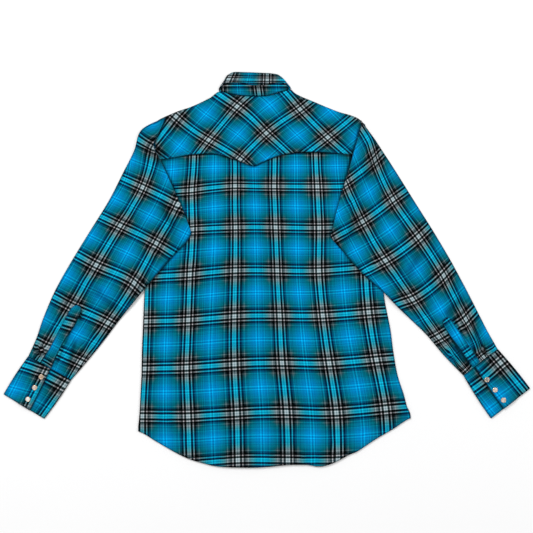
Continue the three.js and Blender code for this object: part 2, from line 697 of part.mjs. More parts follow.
// A placket is a tapered strip on its sleeve, made from the sleeve's own points, moved out.
function makePlacket(side) {
  const last = SLEEVES[side].length - 1;
  const grid = PLACKET_PLACES.map((place) => {
    const row = readRow(PLACKETS[side], place);
    return steps(PLACKET_COLUMNS).map((t) => {
      const point = sleeveUpper(side, row.section / last, mix(row.from, row.to, t));
      point.z += PLACKET_LIFT;
      return point;
    });
  });
  if (side === "left") {
    grid.reverse();
  }
  return clothWall(grid, CLOTH);
}

// The cuffs: one band each, folded round the wrist and lapped on the side that shows.

// A cuff begins at its sleeve's last section, a seam's gap further on, and lies a little full half-way.
function cuffPoint(side, flatAcross, along, z) {
  const cuff = CUFFS[side];
  const across = 0.5 + (flatAcross - 0.5) * (1 + CUFF_BULGE * Math.sin(Math.PI * along));
  const seam = SLEEVES[side][SLEEVES[side].length - 1];
  const x0 = mix(seam.outerX, seam.innerX, across);
  const y0 = mix(seam.outerY, seam.innerY, across);
  const x1 = mix(cuff.endOuter[0], cuff.endInner[0], across);
  const y1 = mix(cuff.endOuter[1], cuff.endInner[1], across);
  const gap = CUFF_SEAM_GAP / Math.hypot(x1 - x0, y1 - y0);
  const place = mix(gap, 1, along);
  return new THREE.Vector3(mix(x0, x1, place), mix(y0, y1, place), z);
}

function cuffLapZ(across, lap) {
  const underlapEnd = lap - CUFF_UNDERLAP;
  const overUnderlap = smooth(underlapEnd - CUFF_LAP_RISE.from, underlapEnd - CUFF_LAP_RISE.to, across);
  return mix(CUFF_MIDDLE_Z, CUFF_TOP_Z, overUnderlap);
}

function makeCuff(side) {
  const cuff = CUFFS[side];
  const grid = steps(CUFF_ROWS).map((along) => {
    const lap = mix(cuff.lapAtSeam, cuff.lapAtEnd, along);
    const path = [];
    for (const t of CUFF_LAP_PLACES) {
      const across = mix(CUFF_FOLD, lap, t);
      path.push([across, cuffLapZ(across, lap)]);
    }
    path.push([CUFF_FOLD, CUFF_MIDDLE_Z]);
    path.push([0, (CUFF_LOW_Z + CUFF_MIDDLE_Z) / 2]);
    for (const across of CUFF_BELOW) {
      path.push([across, CUFF_LOW_Z]);
    }
    path.push([1, (CUFF_LOW_Z + CUFF_MIDDLE_Z) / 2]);
    const underEnd = [1 - CUFF_FOLD, CUFF_INNER_TURN, mix(CUFF_INNER_TURN, lap, 0.5), lap, lap - CUFF_UNDERLAP];
    for (const across of underEnd) {
      path.push([across, CUFF_MIDDLE_Z]);
    }
    return path.map(([across, z]) => cuffPoint(side, across, along, z));
  });
  if (side === "right") {
    grid.reverse();
  }
  return clothWall(grid, CUFF_CLOTH);
}

// The collar's stand and leaf, each a strip round the neck.
function makeCollarStrip(table) {
  const grid = steps(COLLAR_ROWS).map((down) => table.map((row) => new THREE.Vector3(
    mix(row.topX, row.lowX, down),
    mix(row.topY, row.lowY, down),
    row.z,
  )));
  return clothWall(grid.reverse(), CLOTH);
}

// Snaps.

// A cuff snap: a crowned pearl cap in a metal ring, a solid of revolution.
function makeCuffSnap() {
  const profile = [
    [0, 0],
    [5.0, 0],
    [5.5, 0.5],
    [5.5, 1.3],
    [4.9, 1.9],
    [4.0, 1.75],
    [2.4, 2.2],
    [0, 2.4],
  ];
  const geometry = new THREE.LatheGeometry(profile.map(([r, z]) => new THREE.Vector2(r, z)), CUFF_SNAP_SIDES);
  return geometry.rotateX(Math.PI / 2);
}

// A front snap: the cap is level with the cloth that it lies in, a post joins it to the inner ring.
function makeFrontSnap(innerZ) {
  const profile = [
    [0, 0],
    [5.1, 0],
    [SNAP_CAP_RADIUS, 0.4],
    [SNAP_CAP_RADIUS, CLOTH],
    [SNAP_POST_RADIUS, CLOTH],
    [SNAP_POST_RADIUS, innerZ],
    [0, innerZ],
  ];
  const geometry = new THREE.LatheGeometry(profile.map(([r, z]) => new THREE.Vector2(r, z)), FRONT_SNAP_SIDES);
  return geometry.rotateX(Math.PI / 2);
}

// A hole's tool, long enough to go right through any panel.
function makePunch(radius) {
  const geometry = new THREE.CylinderGeometry(radius, radius, PUNCH_LENGTH, FRONT_SNAP_SIDES);
  return geometry.rotateX(Math.PI / 2);
}

// Places of the front snaps, down the middle line of the fronts.
const frontSnapPlaces = Array.from({ length: FRONT_SNAP_COUNT }, (_, i) => {
  const y = SNAP_FIRST_Y - i * SNAP_PITCH;
  return { x: readTable(CENTRE_FRONT, "y", "x", y), y };
});

const collarSnapPlace = { x: COLLAR_CENTRE_X, y: COLLAR_SNAP_Y };

function punch(geometry, places, radius) {
  let solid = toSolid(geometry);
  for (const { x, y } of places) {
    solid = solid.subtract(toSolid(makePunch(radius).translate(x, y, 0)));
  }
  return toGeometry(solid);
}

// Materials and the finished group.

const flannel = { color: 0x0878a4, roughness: 0.95, metalness: 0 };
const flannelBand = { color: 0x0a6c94, roughness: 0.95, metalness: 0 };
const pearl = { color: 0xe9e6e0, roughness: 0.2, metalness: 0.15 };

const group = new THREE.Group();

function addPiece(name, geometry, look, place = [0, 0, 0]) {
  const mesh = new THREE.Mesh(geometry, new THREE.MeshStandardMaterial(look));
  mesh.name = name;
  mesh.position.set(...place);
  mesh.geometry.computeVertexNormals();
  group.add(mesh);
}

const capHole = SNAP_CAP_RADIUS + SEAM_GAP;
const postHole = SNAP_POST_RADIUS + SEAM_GAP;
addPiece("front_left", punch(makeFront("left"), frontSnapPlaces, capHole), flannel);
addPiece("front_right", punch(makeFront("right"), frontSnapPlaces, postHole), flannel);
addPiece("back", makeBack(), flannel);
addPiece("back_yoke", makeYoke(), flannelBand);
addPiece("collar_stand", punch(makeCollarStrip(STAND), [collarSnapPlace], postHole), flannelBand);
addPiece("collar_leaf", makeCollarStrip(LEAF), flannel);

for (const side of ["left", "right"]) {
  addPiece(`sleeve_${side}`, makeSleeve(side), flannel);
  addPiece(`sleeve_placket_${side}`, makePlacket(side), flannelBand);
  addPiece(`cuff_${side}`, makeCuff(side), flannelBand);
  CUFFS[side].snaps.forEach(({ x, y }, i) => {
    const z = CUFF_TOP_Z + CUFF_CLOTH / 2 + SEAM_GAP;
    addPiece(`cuff_snap_${side}_${i + 1}`, makeCuffSnap(), pearl, [x, y, z]);
  });
}

frontSnapPlaces.forEach(({ x, y }, i) => {
  addPiece(`front_snap_${i + 1}`, makeFrontSnap(CLOTH + LAYER), pearl, [x, y, 0]);
});

addPiece("collar_snap", makeFrontSnap(CLOTH + 2 * LAYER), pearl, [
  collarSnapPlace.x,
  collarSnapPlace.y,
  0,
]);

export default group;
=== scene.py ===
# A western snap shirt of brushed check flannel, laid out flat with its back up and its fronts under it.
# Tables are in millimetres, in the shirt's own frame: the collar towards +Y, the left sleeve towards -X.
import math

import bpy
import numpy as np
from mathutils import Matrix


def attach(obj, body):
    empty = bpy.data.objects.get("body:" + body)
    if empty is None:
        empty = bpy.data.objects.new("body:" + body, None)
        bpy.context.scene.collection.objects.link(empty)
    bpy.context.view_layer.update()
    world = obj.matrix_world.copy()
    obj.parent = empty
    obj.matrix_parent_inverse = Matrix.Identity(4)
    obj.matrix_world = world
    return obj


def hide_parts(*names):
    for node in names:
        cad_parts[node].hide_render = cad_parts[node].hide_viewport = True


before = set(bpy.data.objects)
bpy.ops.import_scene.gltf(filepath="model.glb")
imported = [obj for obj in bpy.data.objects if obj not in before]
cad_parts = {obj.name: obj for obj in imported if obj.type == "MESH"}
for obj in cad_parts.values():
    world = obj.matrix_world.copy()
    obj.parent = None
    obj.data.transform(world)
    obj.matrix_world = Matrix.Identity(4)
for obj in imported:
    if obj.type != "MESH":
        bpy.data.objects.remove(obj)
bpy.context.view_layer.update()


# The table that the shirt lies on: a plain pale sheet of board, lit by one large soft lamp from beyond
# the collar, a weaker one from the side, and an even white room. The camera looks straight down.
TABLE_SIZE = 8.0
TABLE_DROP = 0.0004
BOARD_DULL = (0.95, 0.95, 0.955, 1)
BOARD_BRIGHT = (0.97, 0.97, 0.97, 1)
CAMERA_X = -0.00054
CAMERA_Y = 0.00806
CAMERA_HEIGHT = 1.597
CAMERA_LENS = 50
CAMERA_SENSOR = 36
LAMPS = [
    # name, place, size, power
    ("collar_lamp", (-1.7, 2.3, 3.0), 1.3, 92.0),
    ("side_lamp", (3.0, 0.6, 2.6), 1.6, 32.0),
]
ROOM_LIGHT = 0.60


def put(tree, kind, feeds=None, **settings):
    """Adds a node and feeds its sockets with numbers, colours or other nodes' outputs."""
    node = tree.nodes.new(kind)
    for key, value in settings.items():
        setattr(node, key, value)
    for socket, value in (feeds or {}).items():
        if isinstance(value, bpy.types.NodeSocket):
            tree.links.new(value, node.inputs[socket])
        else:
            node.inputs[socket].default_value = value
    return node


def new_finish(name):
    """An empty node material, with its node tree."""
    finish = bpy.data.materials.new(name)
    finish.use_nodes = True
    finish.node_tree.nodes.clear()
    return finish, finish.node_tree


def painted_board():
    """Matt off-white paint with a faint unevenness."""
    finish, tree = new_finish("pale_board")
    place = put(tree, "ShaderNodeTexCoord").outputs["Object"]
    grain = put(tree, "ShaderNodeTexNoise", {"Vector": place, "Scale": 3.0, "Detail": 3.0}).outputs["Fac"]
    tone = put(tree, "ShaderNodeMix", {0: grain, 6: BOARD_DULL, 7: BOARD_BRIGHT}, data_type="RGBA")
    skin = put(tree, "ShaderNodeBsdfPrincipled", {"Base Color": tone.outputs[2], "Roughness": 0.85,
                                                  "Specular IOR Level": 0.1})
    put(tree, "ShaderNodeOutputMaterial", {"Surface": skin.outputs[0]})
    return finish


table_mesh = bpy.data.meshes.new("table")
half_table = TABLE_SIZE / 2
table_mesh.from_pydata([(-half_table, -half_table, 0), (half_table, -half_table, 0),
                        (half_table, half_table, 0), (-half_table, half_table, 0)], [], [(0, 1, 2, 3)])
table = bpy.data.objects.new("table", table_mesh)
bpy.context.scene.collection.objects.link(table)
table.data.materials.append(painted_board())
table.location.z = -TABLE_DROP

for lamp_name, lamp_place, lamp_size, lamp_power in LAMPS:
    lamp_data = bpy.data.lights.new(lamp_name, "AREA")
    lamp_data.size = lamp_size
    lamp_data.energy = lamp_power
    lamp = bpy.data.objects.new(lamp_name, lamp_data)
    bpy.context.scene.collection.objects.link(lamp)
    lamp.location = lamp_place
    lamp.rotation_euler = (-lamp.location).to_track_quat("-Z", "Y").to_euler()

room = bpy.data.worlds.new("room")
room.use_nodes = True
room.node_tree.nodes["Background"].inputs["Color"].default_value = (1, 1, 1, 1)
room.node_tree.nodes["Background"].inputs["Strength"].default_value = ROOM_LIGHT
bpy.context.scene.world = room
bpy.context.scene.view_settings.view_transform = "Standard"

camera_data = bpy.data.cameras.new("camera")
camera_data.lens = CAMERA_LENS
camera_data.sensor_width = CAMERA_SENSOR
camera = bpy.data.objects.new("camera", camera_data)
bpy.context.scene.collection.objects.link(camera)
camera.location = (CAMERA_X, CAMERA_Y, CAMERA_HEIGHT)
bpy.context.scene.camera = camera


# The back panel: one cut of brushed check flannel on the straight grain, its shirt-tail hem turned up
# and stitched. Its top edge lies under the yoke, its sides run up under the sleeves, and it sags a
# little between soft ridges where it lies on the fronts.
MM = 0.001
CLOTH = 1.3
LAYER = 1.6
BACK_WIDTH = 570
BACK_LENGTH = 690
BACK_COLUMNS = 150
BACK_ROWS = 176
BACK_CROWN = 2.0
CROWN_HALF_WIDTH = 255
# Where the crown, folds and creases fade out: at the shoulder seams, below the armholes, towards the
# sides and under the yoke.
SHOULDER_PEAK_Y = 422
SHOULDER_SLOPE = 0.47
SHOULDER_FADE = 60
ARMPIT_X = 200
ARMPIT_SLOPE = 0.4
ARMPIT_FADE = (-40, 60)
SIDE_FADE = (90, 150)
FOLDS_FADE = (150, 215)
CREASES_FADE = (195, 225)
DEEPEST_CREASE = 1.2
# The collar's points lie hidden round the middle of the neck.
NECK_X = -26
NECK_Y = 340
COLLAR_REACH = (100, 140)
YOKE_LEVEL = 250
YOKE_TUCK = 12
# Painted shadow on the back under the yoke's lower edge: how dark, and how far down.
YOKE_SHADE = 0.9
YOKE_SHADE_WIDTH = (1.0, 4.5)
HEM_SIDE_DROP = 28
HEM_WIDTH = 7.0
HEM_RAISE = 0.35
HEM_SOFTNESS = 1.5
HEM_STITCH = 6.0
HEM_STITCH_INSET = 5
SEAM_SINK = 0.3
HEM_SINK_WIDTH = 1.4
SEAM_POINTS = 400
STITCH_LENGTH = 2.2
STITCH_GAP = 0.7
THREAD_RADIUS = 0.26
THREAD_SIDES = 6
STITCH_SHAPE = [
    # place along the stitch, height, thickness as a share
    (0.0, -0.3, 0.5), (0.22, 0.12, 1.0), (0.78, 0.12, 1.0), (1.0, -0.3, 0.5),
]
BODY_SIDES = [
    # y, left x, right x
    (-347, -277, 318), (-319, -275, 310), (-290, -273, 301), (-267, -272, 295), (-227, -270, 282),
    (-178, -269, 273), (-126, -267, 266), (-58, -264, 253), (50, -258, 244), (100, -249, 231),
    (150, -245, 214), (200, -245, 204), (260, -250, 201), (300, -250, 208), (326, -240, 212),
]
HEM = [
    # x, y
    (-277, -347), (-238, -369), (-199, -391.5), (-171, -405), (-143, -414), (-105, -422.5), (-42, -425),
    (0, -423.5), (44, -419.5), (87, -419), (108, -422.5), (125, -421.5), (149, -413), (179, -397),
    (194, -391), (231, -366.5), (274, -341), (310, -319),
]
YOKE_EDGE = [
    # x, y
    (-262, 236), (-223, 239), (-199, 242), (-163, 248.5), (-131, 250.5), (-111, 250), (-86, 243),
    (-57, 233.5), (-28.5, 224), (-10, 231.5), (13, 241.5), (50, 251), (87, 254), (125, 253.5),
    (181, 248.5), (212, 246),
]
BACK_FOLDS = [
    # x0, y0, x1, y1, wide, high
    (-205, -20, -165, -300, 20, 1.9), (-70, 190, -95, -120, 24, 1.5), (-60, -170, -85, -410, 22, 1.8),
    (60, 180, 40, -60, 24, 1.5), (95, -90, 120, -405, 22, 2.0), (205, -70, 235, -310, 18, 1.8),
]
BACK_CREASES = [
    # x0, y0, x1, y1, wide, high
    (-150, 205, -120, 90, 9, 0.5), (-118, 150, -125, -30, 13, -0.5), (-20, 200, -12, 40, 11, -0.5),
    (22, 200, 14, 60, 8, 0.45), (112, 210, 104, 70, 10, 0.55), (150, 190, 168, 60, 9, -0.45),
    (-232, 20, -205, -120, 10, 0.8), (-225, -100, -240, -260, 12, -0.6), (-190, 60, -140, -20, 11, 0.6),
    (170, 40, 196, -70, 11, 0.8), (222, 10, 240, -130, 9, -0.7), (250, -140, 272, -290, 9, 0.8),
    (-30, -60, -22, -260, 13, -0.5), (30, -120, 60, -330, 12, 0.6), (165, -130, 182, -330, 12, -0.7),
    (-140, -200, -122, -380, 13, -0.6), (-230, -300, -170, -370, 9, 0.6), (0, -330, 18, -418, 8, 0.8),
    (52, -350, 56, -420, 7, -0.8), (84, -372, 70, -421, 6, 1.0), (104, -380, 112, -420, 6, -0.8),
    (134, -360, 150, -412, 7, 0.9), (-92, -380, -100, -423, 7, 0.7), (190, -330, 222, -372, 7, 0.8),
]
BACK_CROSSINGS = [
    # warp stripe, weft stripe, x, y
    (0, 0, -161.6, 172.6), (1, 0, -68.1, 181.6), (2, 0, 15.9, 180.5), (3, 0, 108.9, 180),
    (0, 1, -160.5, 88), (1, 1, -67.1, 92.1), (2, 1, 18.9, 92.1), (3, 1, 112.7, 91),
    (0, 2, -165.6, -9), (1, 2, -67.6, -0.5), (2, 2, 22.5, -0.5), (3, 2, 112.2, -1), (4, 2, 212.5, 6.2),
    (-1, 3, -260, -110.2), (0, 3, -169.1, -107), (1, 3, -69.6, -99.1), (2, 3, 27.5, -97.5),
    (3, 3, 120.6, -97.5), (4, 3, 219.3, -90.6),
    (-1, 4, -263, -212.2), (0, 4, -172.6, -209.5), (1, 4, -69.2, -202.2), (2, 4, 33, -199.5),
    (3, 4, 134.5, -200.5), (4, 4, 236.2, -192.5),
    (-1, 5, -268, -314.4), (0, 5, -169, -314.5), (1, 5, -64, -308.1), (2, 5, 42.5, -305),
    (3, 5, 150, -306.6), (4, 5, 256.1, -297.5),
    (0, 6, -166, -416), (1, 6, -62.1, -408.4), (2, 6, 45.4, -408.9), (3, 6, 153, -408.9),
    (-0.5, -0.5, -203, 214.7), (0, -0.5, -158, 219), (0.5, -0.5, -113, 221.3), (1, -0.5, -68, 221.3),
    (1.5, -0.5, -27.4, 221), (2, -0.5, 16.5, 221.5), (2.5, -0.5, 63, 222.3), (3, -0.5, 106.5, 222.3),
    (3.5, -0.5, 149.8, 222.8),
]
# Painted shade on the back: dark lines along the armholes and on down beside the sleeves' inner edges.
BACK_PAINTED_SHADE = [
    # x0, y0, x1, y1, wide, amount
    (-229, 236, -199, 172, 3.6, 0.9), (-206, 190, -164, 86, 3.4, 0.8), (-170, 96, -196, 38, 3.0, 0.7),
    (-190, 46, -262, -42, 3.0, 0.7), (183, 246, 176, 215, 3.6, 1.0), (178, 225, 158, 150, 3.4, 0.8),
    (162, 165, 138, 74, 3.2, 0.8), (138, 80, 184, 18, 3.0, 0.7), (176, 26, 252, -46, 3.0, 0.7),
]
# The check's repeat, from the middle of the wide pale stripe (0) to the middle of the blue (0.5).
# Yarn colours are as seen, 0 to 255. A blue yarn takes red away from a pale one that it crosses.
SETT = [
    # place, red, green, blue
    (0.000, 112, 140, 148), (0.007, 124, 152, 160), (0.013, 188, 206, 212), (0.038, 188, 206, 212),
    (0.046, -74, -64, -66), (0.084, -74, -64, -66), (0.090, 184, 178, 182), (0.110, 184, 178, 182),
    (0.117, -58, -46, -48), (0.150, -58, -46, -48), (0.158, 18, 28, 32), (0.172, 22, 32, 36),
    (0.186, 14, 34, 40), (0.196, 100, 120, 124), (0.214, 100, 120, 124), (0.226, 26, 70, 80),
    (0.250, 20, 92, 104), (0.270, -8, 104, 120), (0.310, -50, 114, 140), (0.350, -105, 124, 168),
    (0.400, -150, 132, 194), (0.445, -165, 134, 200), (0.455, -165, 132, 198), (0.459, -165, 196, 266),
    (0.480, -165, 196, 266), (0.487, -165, 116, 184), (0.500, -165, 116, 184),
]
SETT_FLOOR = 200.0
SETT_SPAN = 500.0
YARNS_A_REPEAT = 150.0
TWILL_SHARE = 0.08
NAP_SCALE = 900.0
BLOTCH_SCALE = 14.0
# How dark the painted shade makes the cloth at its darkest.
PAINTED_SHADE_DARKEST = 0.42
STREAKS_A_REPEAT = 44.0
STREAK_DEPTH = 0.055
# A ridge draws it aside.
CHECK_UNIT = 100.0
CHECK_SLACK = 0.002
TUG = 6.0
RIDGE_START = (-0.12, 0.25)
RIDGE_END = (0.75, 1.12)
# A cloth edge rounds off over half the cloth: how far in its lines of points lie, as shares of that, and
# how full the cloth is at each. A painted shade darkens the cloth along the edge: how dark, and how far in.
EDGE_ROLL = CLOTH / 2
RIM_PLACES = [0.0, 0.12, 0.45, 1.0]
RIM_FULLNESS = [0.0, 0.47, 0.83]
RIM_PAINTED_SHADE = 0.75
RIM_PAINTED_SHADE_WIDTH = 2.4


def ease(low, high, value):
    """From 0 to 1 between two places, gentle at both ends."""
    t = np.clip((value - low) / (high - low), 0.0, 1.0)
    return t * t * (3.0 - 2.0 * t)


def through(keys, values, at):
    """Reads a smooth curve through a short table of points."""
    keys = np.asarray(keys, float)
    values = np.asarray(values, float)
    slopes = np.empty_like(values)
    slopes[1:-1] = (values[2:] - values[:-2]) / (keys[2:] - keys[:-2])
    slopes[0] = (values[1] - values[0]) / (keys[1] - keys[0]) / 2
    slopes[-1] = (values[-1] - values[-2]) / (keys[-1] - keys[-2]) / 2
    at = np.clip(at, keys[0], keys[-1])
    i = np.clip(np.searchsorted(keys, at, side="right") - 1, 0, len(keys) - 2)
    width = keys[i + 1] - keys[i]
    t = (at - keys[i]) / width
    return ((1 + 2 * t) * (1 - t) ** 2 * values[i] + t * (1 - t) ** 2 * width * slopes[i]
            + t * t * (3 - 2 * t) * values[i + 1] + t * t * (t - 1) * width * slopes[i + 1])


def column(table, key, value, at):
    """Reads one column of a table against another."""
    rows = np.array(table, float)
    return through(rows[:, key], rows[:, value], at)


def ridges(table, x, y):
    """The height of a list of soft ridges, or troughs where high is below 0."""
    height = np.zeros_like(x, dtype=float)
    for x0, y0, x1, y1, wide, high in table:
        dx, dy = x1 - x0, y1 - y0
        length = math.hypot(dx, dy)
        along = ((x - x0) * dx + (y - y0) * dy) / length ** 2
        off = ((x - x0) * dy - (y - y0) * dx) / length
        ends = ease(*RIDGE_START, along) * (1 - ease(*RIDGE_END, along))
        height += high * ends * np.exp(-(off / wide) ** 2)
    return height


def rim_steps(count, length, roll):
    """Places from 0 to 1 across a length, with closer ones at both ends where the edge rounds off."""
    near = np.array(RIM_PLACES) * roll / length
    inner = np.linspace(near[-1], 1 - near[-1], count)
    return np.concatenate([near[:-1], inner, 1 - near[:-1][::-1]])


def tugs(table, x, y):
    """Places in the cloth as a list of ridges draws it aside, so that the check wavers there."""
    aside_x = np.zeros_like(x, dtype=float)
    aside_y = np.zeros_like(x, dtype=float)
    for x0, y0, x1, y1, wide, high in table:
        length = math.hypot(x1 - x0, y1 - y0)
        off = ((x - x0) * (y1 - y0) - (y - y0) * (x1 - x0)) / length
        slope = -2 * off / wide ** 2 * ridges([(x0, y0, x1, y1, wide, high)], x, y)
        aside_x += TUG * slope * (y1 - y0) / length
        aside_y -= TUG * slope * (x1 - x0) / length
    return x + aside_x, y + aside_y


def path_length(grid, axis):
    """Distances along a grid of points from its first row or column."""
    moves = np.linalg.norm(np.diff(grid, axis=axis), axis=2)
    return np.insert(np.cumsum(moves, axis=axis), 0, 0.0, axis=axis)


def cloth_piece(name, middle, check, thick, ring=False, painted_shade=0.0):
    """A thin closed shell of cloth on a grid of points through its middle, its edges rounded off and
    darkened with painted shade along them and wherever more painted shade is given. Its columns close on
    themselves where it is a ring."""
    rows, columns = middle.shape[:2]
    if ring:
        wrapped = np.concatenate([middle[:, -1:], middle, middle[:, :1]], axis=1)
        across = wrapped[:, 2:] - wrapped[:, :-2]
    else:
        across = np.gradient(middle, axis=1)
    along = np.gradient(middle, axis=0)
    normal = np.cross(across, along)
    normal /= np.maximum(np.linalg.norm(normal, axis=2, keepdims=True), 1e-9)
    row_full = np.ones(rows)
    column_full = np.ones(columns)
    for i, full in enumerate(RIM_FULLNESS):
        row_full[i] = row_full[-1 - i] = full
        if not ring:
            column_full[i] = column_full[-1 - i] = full
    row_full[[0, -1]] = 0
    full = np.minimum(row_full[:, None], column_full[None, :])[..., None]
    half = np.broadcast_to(np.asarray(thick, float) / 2, (rows, columns))[..., None]
    upper = middle + normal * half * full
    lower = middle - normal * half * full
    apart = full[..., 0] > 0
    top = np.arange(rows * columns).reshape(rows, columns)
    low = top.copy()
    low[apart] = rows * columns + np.arange(apart.sum())
    points = np.concatenate([upper.reshape(-1, 3), lower[apart]]) * MM
    next_column = np.roll(np.arange(columns), -1) if ring else np.arange(1, columns)
    this_column = np.arange(columns) if ring else np.arange(columns - 1)
    quads = []
    for grid, flip in ((top, False), (low, True)):
        a, b = grid[:-1][:, this_column], grid[:-1][:, next_column]
        c, d = grid[1:][:, next_column], grid[1:][:, this_column]
        quads.append(np.stack([a, d, c, b] if flip else [a, b, c, d], axis=-1).reshape(-1, 4))
    faces = np.concatenate(quads)
    down = path_length(middle, 0)
    inside = np.minimum(down, down[-1:] - down)
    if not ring:
        sideways = path_length(middle, 1)
        inside = np.minimum(inside, np.minimum(sideways, sideways[:, -1:] - sideways))
    # Painted shade: the cloth is darker along its edges, and wherever more painted shade is given.
    wear = np.clip(np.maximum(RIM_PAINTED_SHADE * (1 - ease(0, RIM_PAINTED_SHADE_WIDTH, inside)), painted_shade), 0, 1)
    wear = np.stack([wear, np.zeros_like(wear)], axis=-1)
    maps = {key: np.concatenate([part.reshape(-1, 2), part[apart]])
            for key, part in (("check", check), ("wear", wear))}
    return mesh_piece(name, points, faces, maps)


def mesh_piece(name, points, faces, maps):
    """A new object from points and faces, with maps of its places in the check and of its painted shade."""
    mesh = bpy.data.meshes.new(name)
    mesh.from_pydata(points.tolist(), [], faces.tolist())
    corners = np.empty(len(mesh.loops), np.int32)
    mesh.loops.foreach_get("vertex_index", corners)
    for key, places in maps.items():
        layer = mesh.uv_layers.new(name=key)
        layer.data.foreach_set("uv", places[corners].astype(np.float32).ravel())
    mesh.shade_smooth()
    piece = bpy.data.objects.new(name, mesh)
    bpy.context.scene.collection.objects.link(piece)
    return piece


def lay_check(crossings, x, y):
    """Where each point of the cloth lies in the check, bent smoothly through the crossings."""
    table = np.array(crossings, float)
    marks = table[:, 2:4] / CHECK_UNIT
    here = np.stack([np.ravel(x), np.ravel(y)], axis=1) / CHECK_UNIT

    def pull(a, b):
        far = np.hypot(a[:, None, 0] - b[None, :, 0], a[:, None, 1] - b[None, :, 1]) + 1e-9
        return far ** 2 * np.log(far)

    count = len(marks)
    flat = np.concatenate([np.ones((count, 1)), marks], axis=1)
    system = np.zeros((count + 3, count + 3))
    system[:count, :count] = pull(marks, marks) + CHECK_SLACK * np.eye(count)
    system[:count, count:] = flat
    system[count:, :count] = flat.T
    wanted = np.concatenate([table[:, :2], np.zeros((3, 2))])
    weights = np.linalg.solve(system, wanted)
    level = np.concatenate([np.ones((len(here), 1)), here], axis=1)
    found = pull(here, marks) @ weights[:count] + level @ weights[count:]
    return found.reshape(np.shape(x) + (2,))


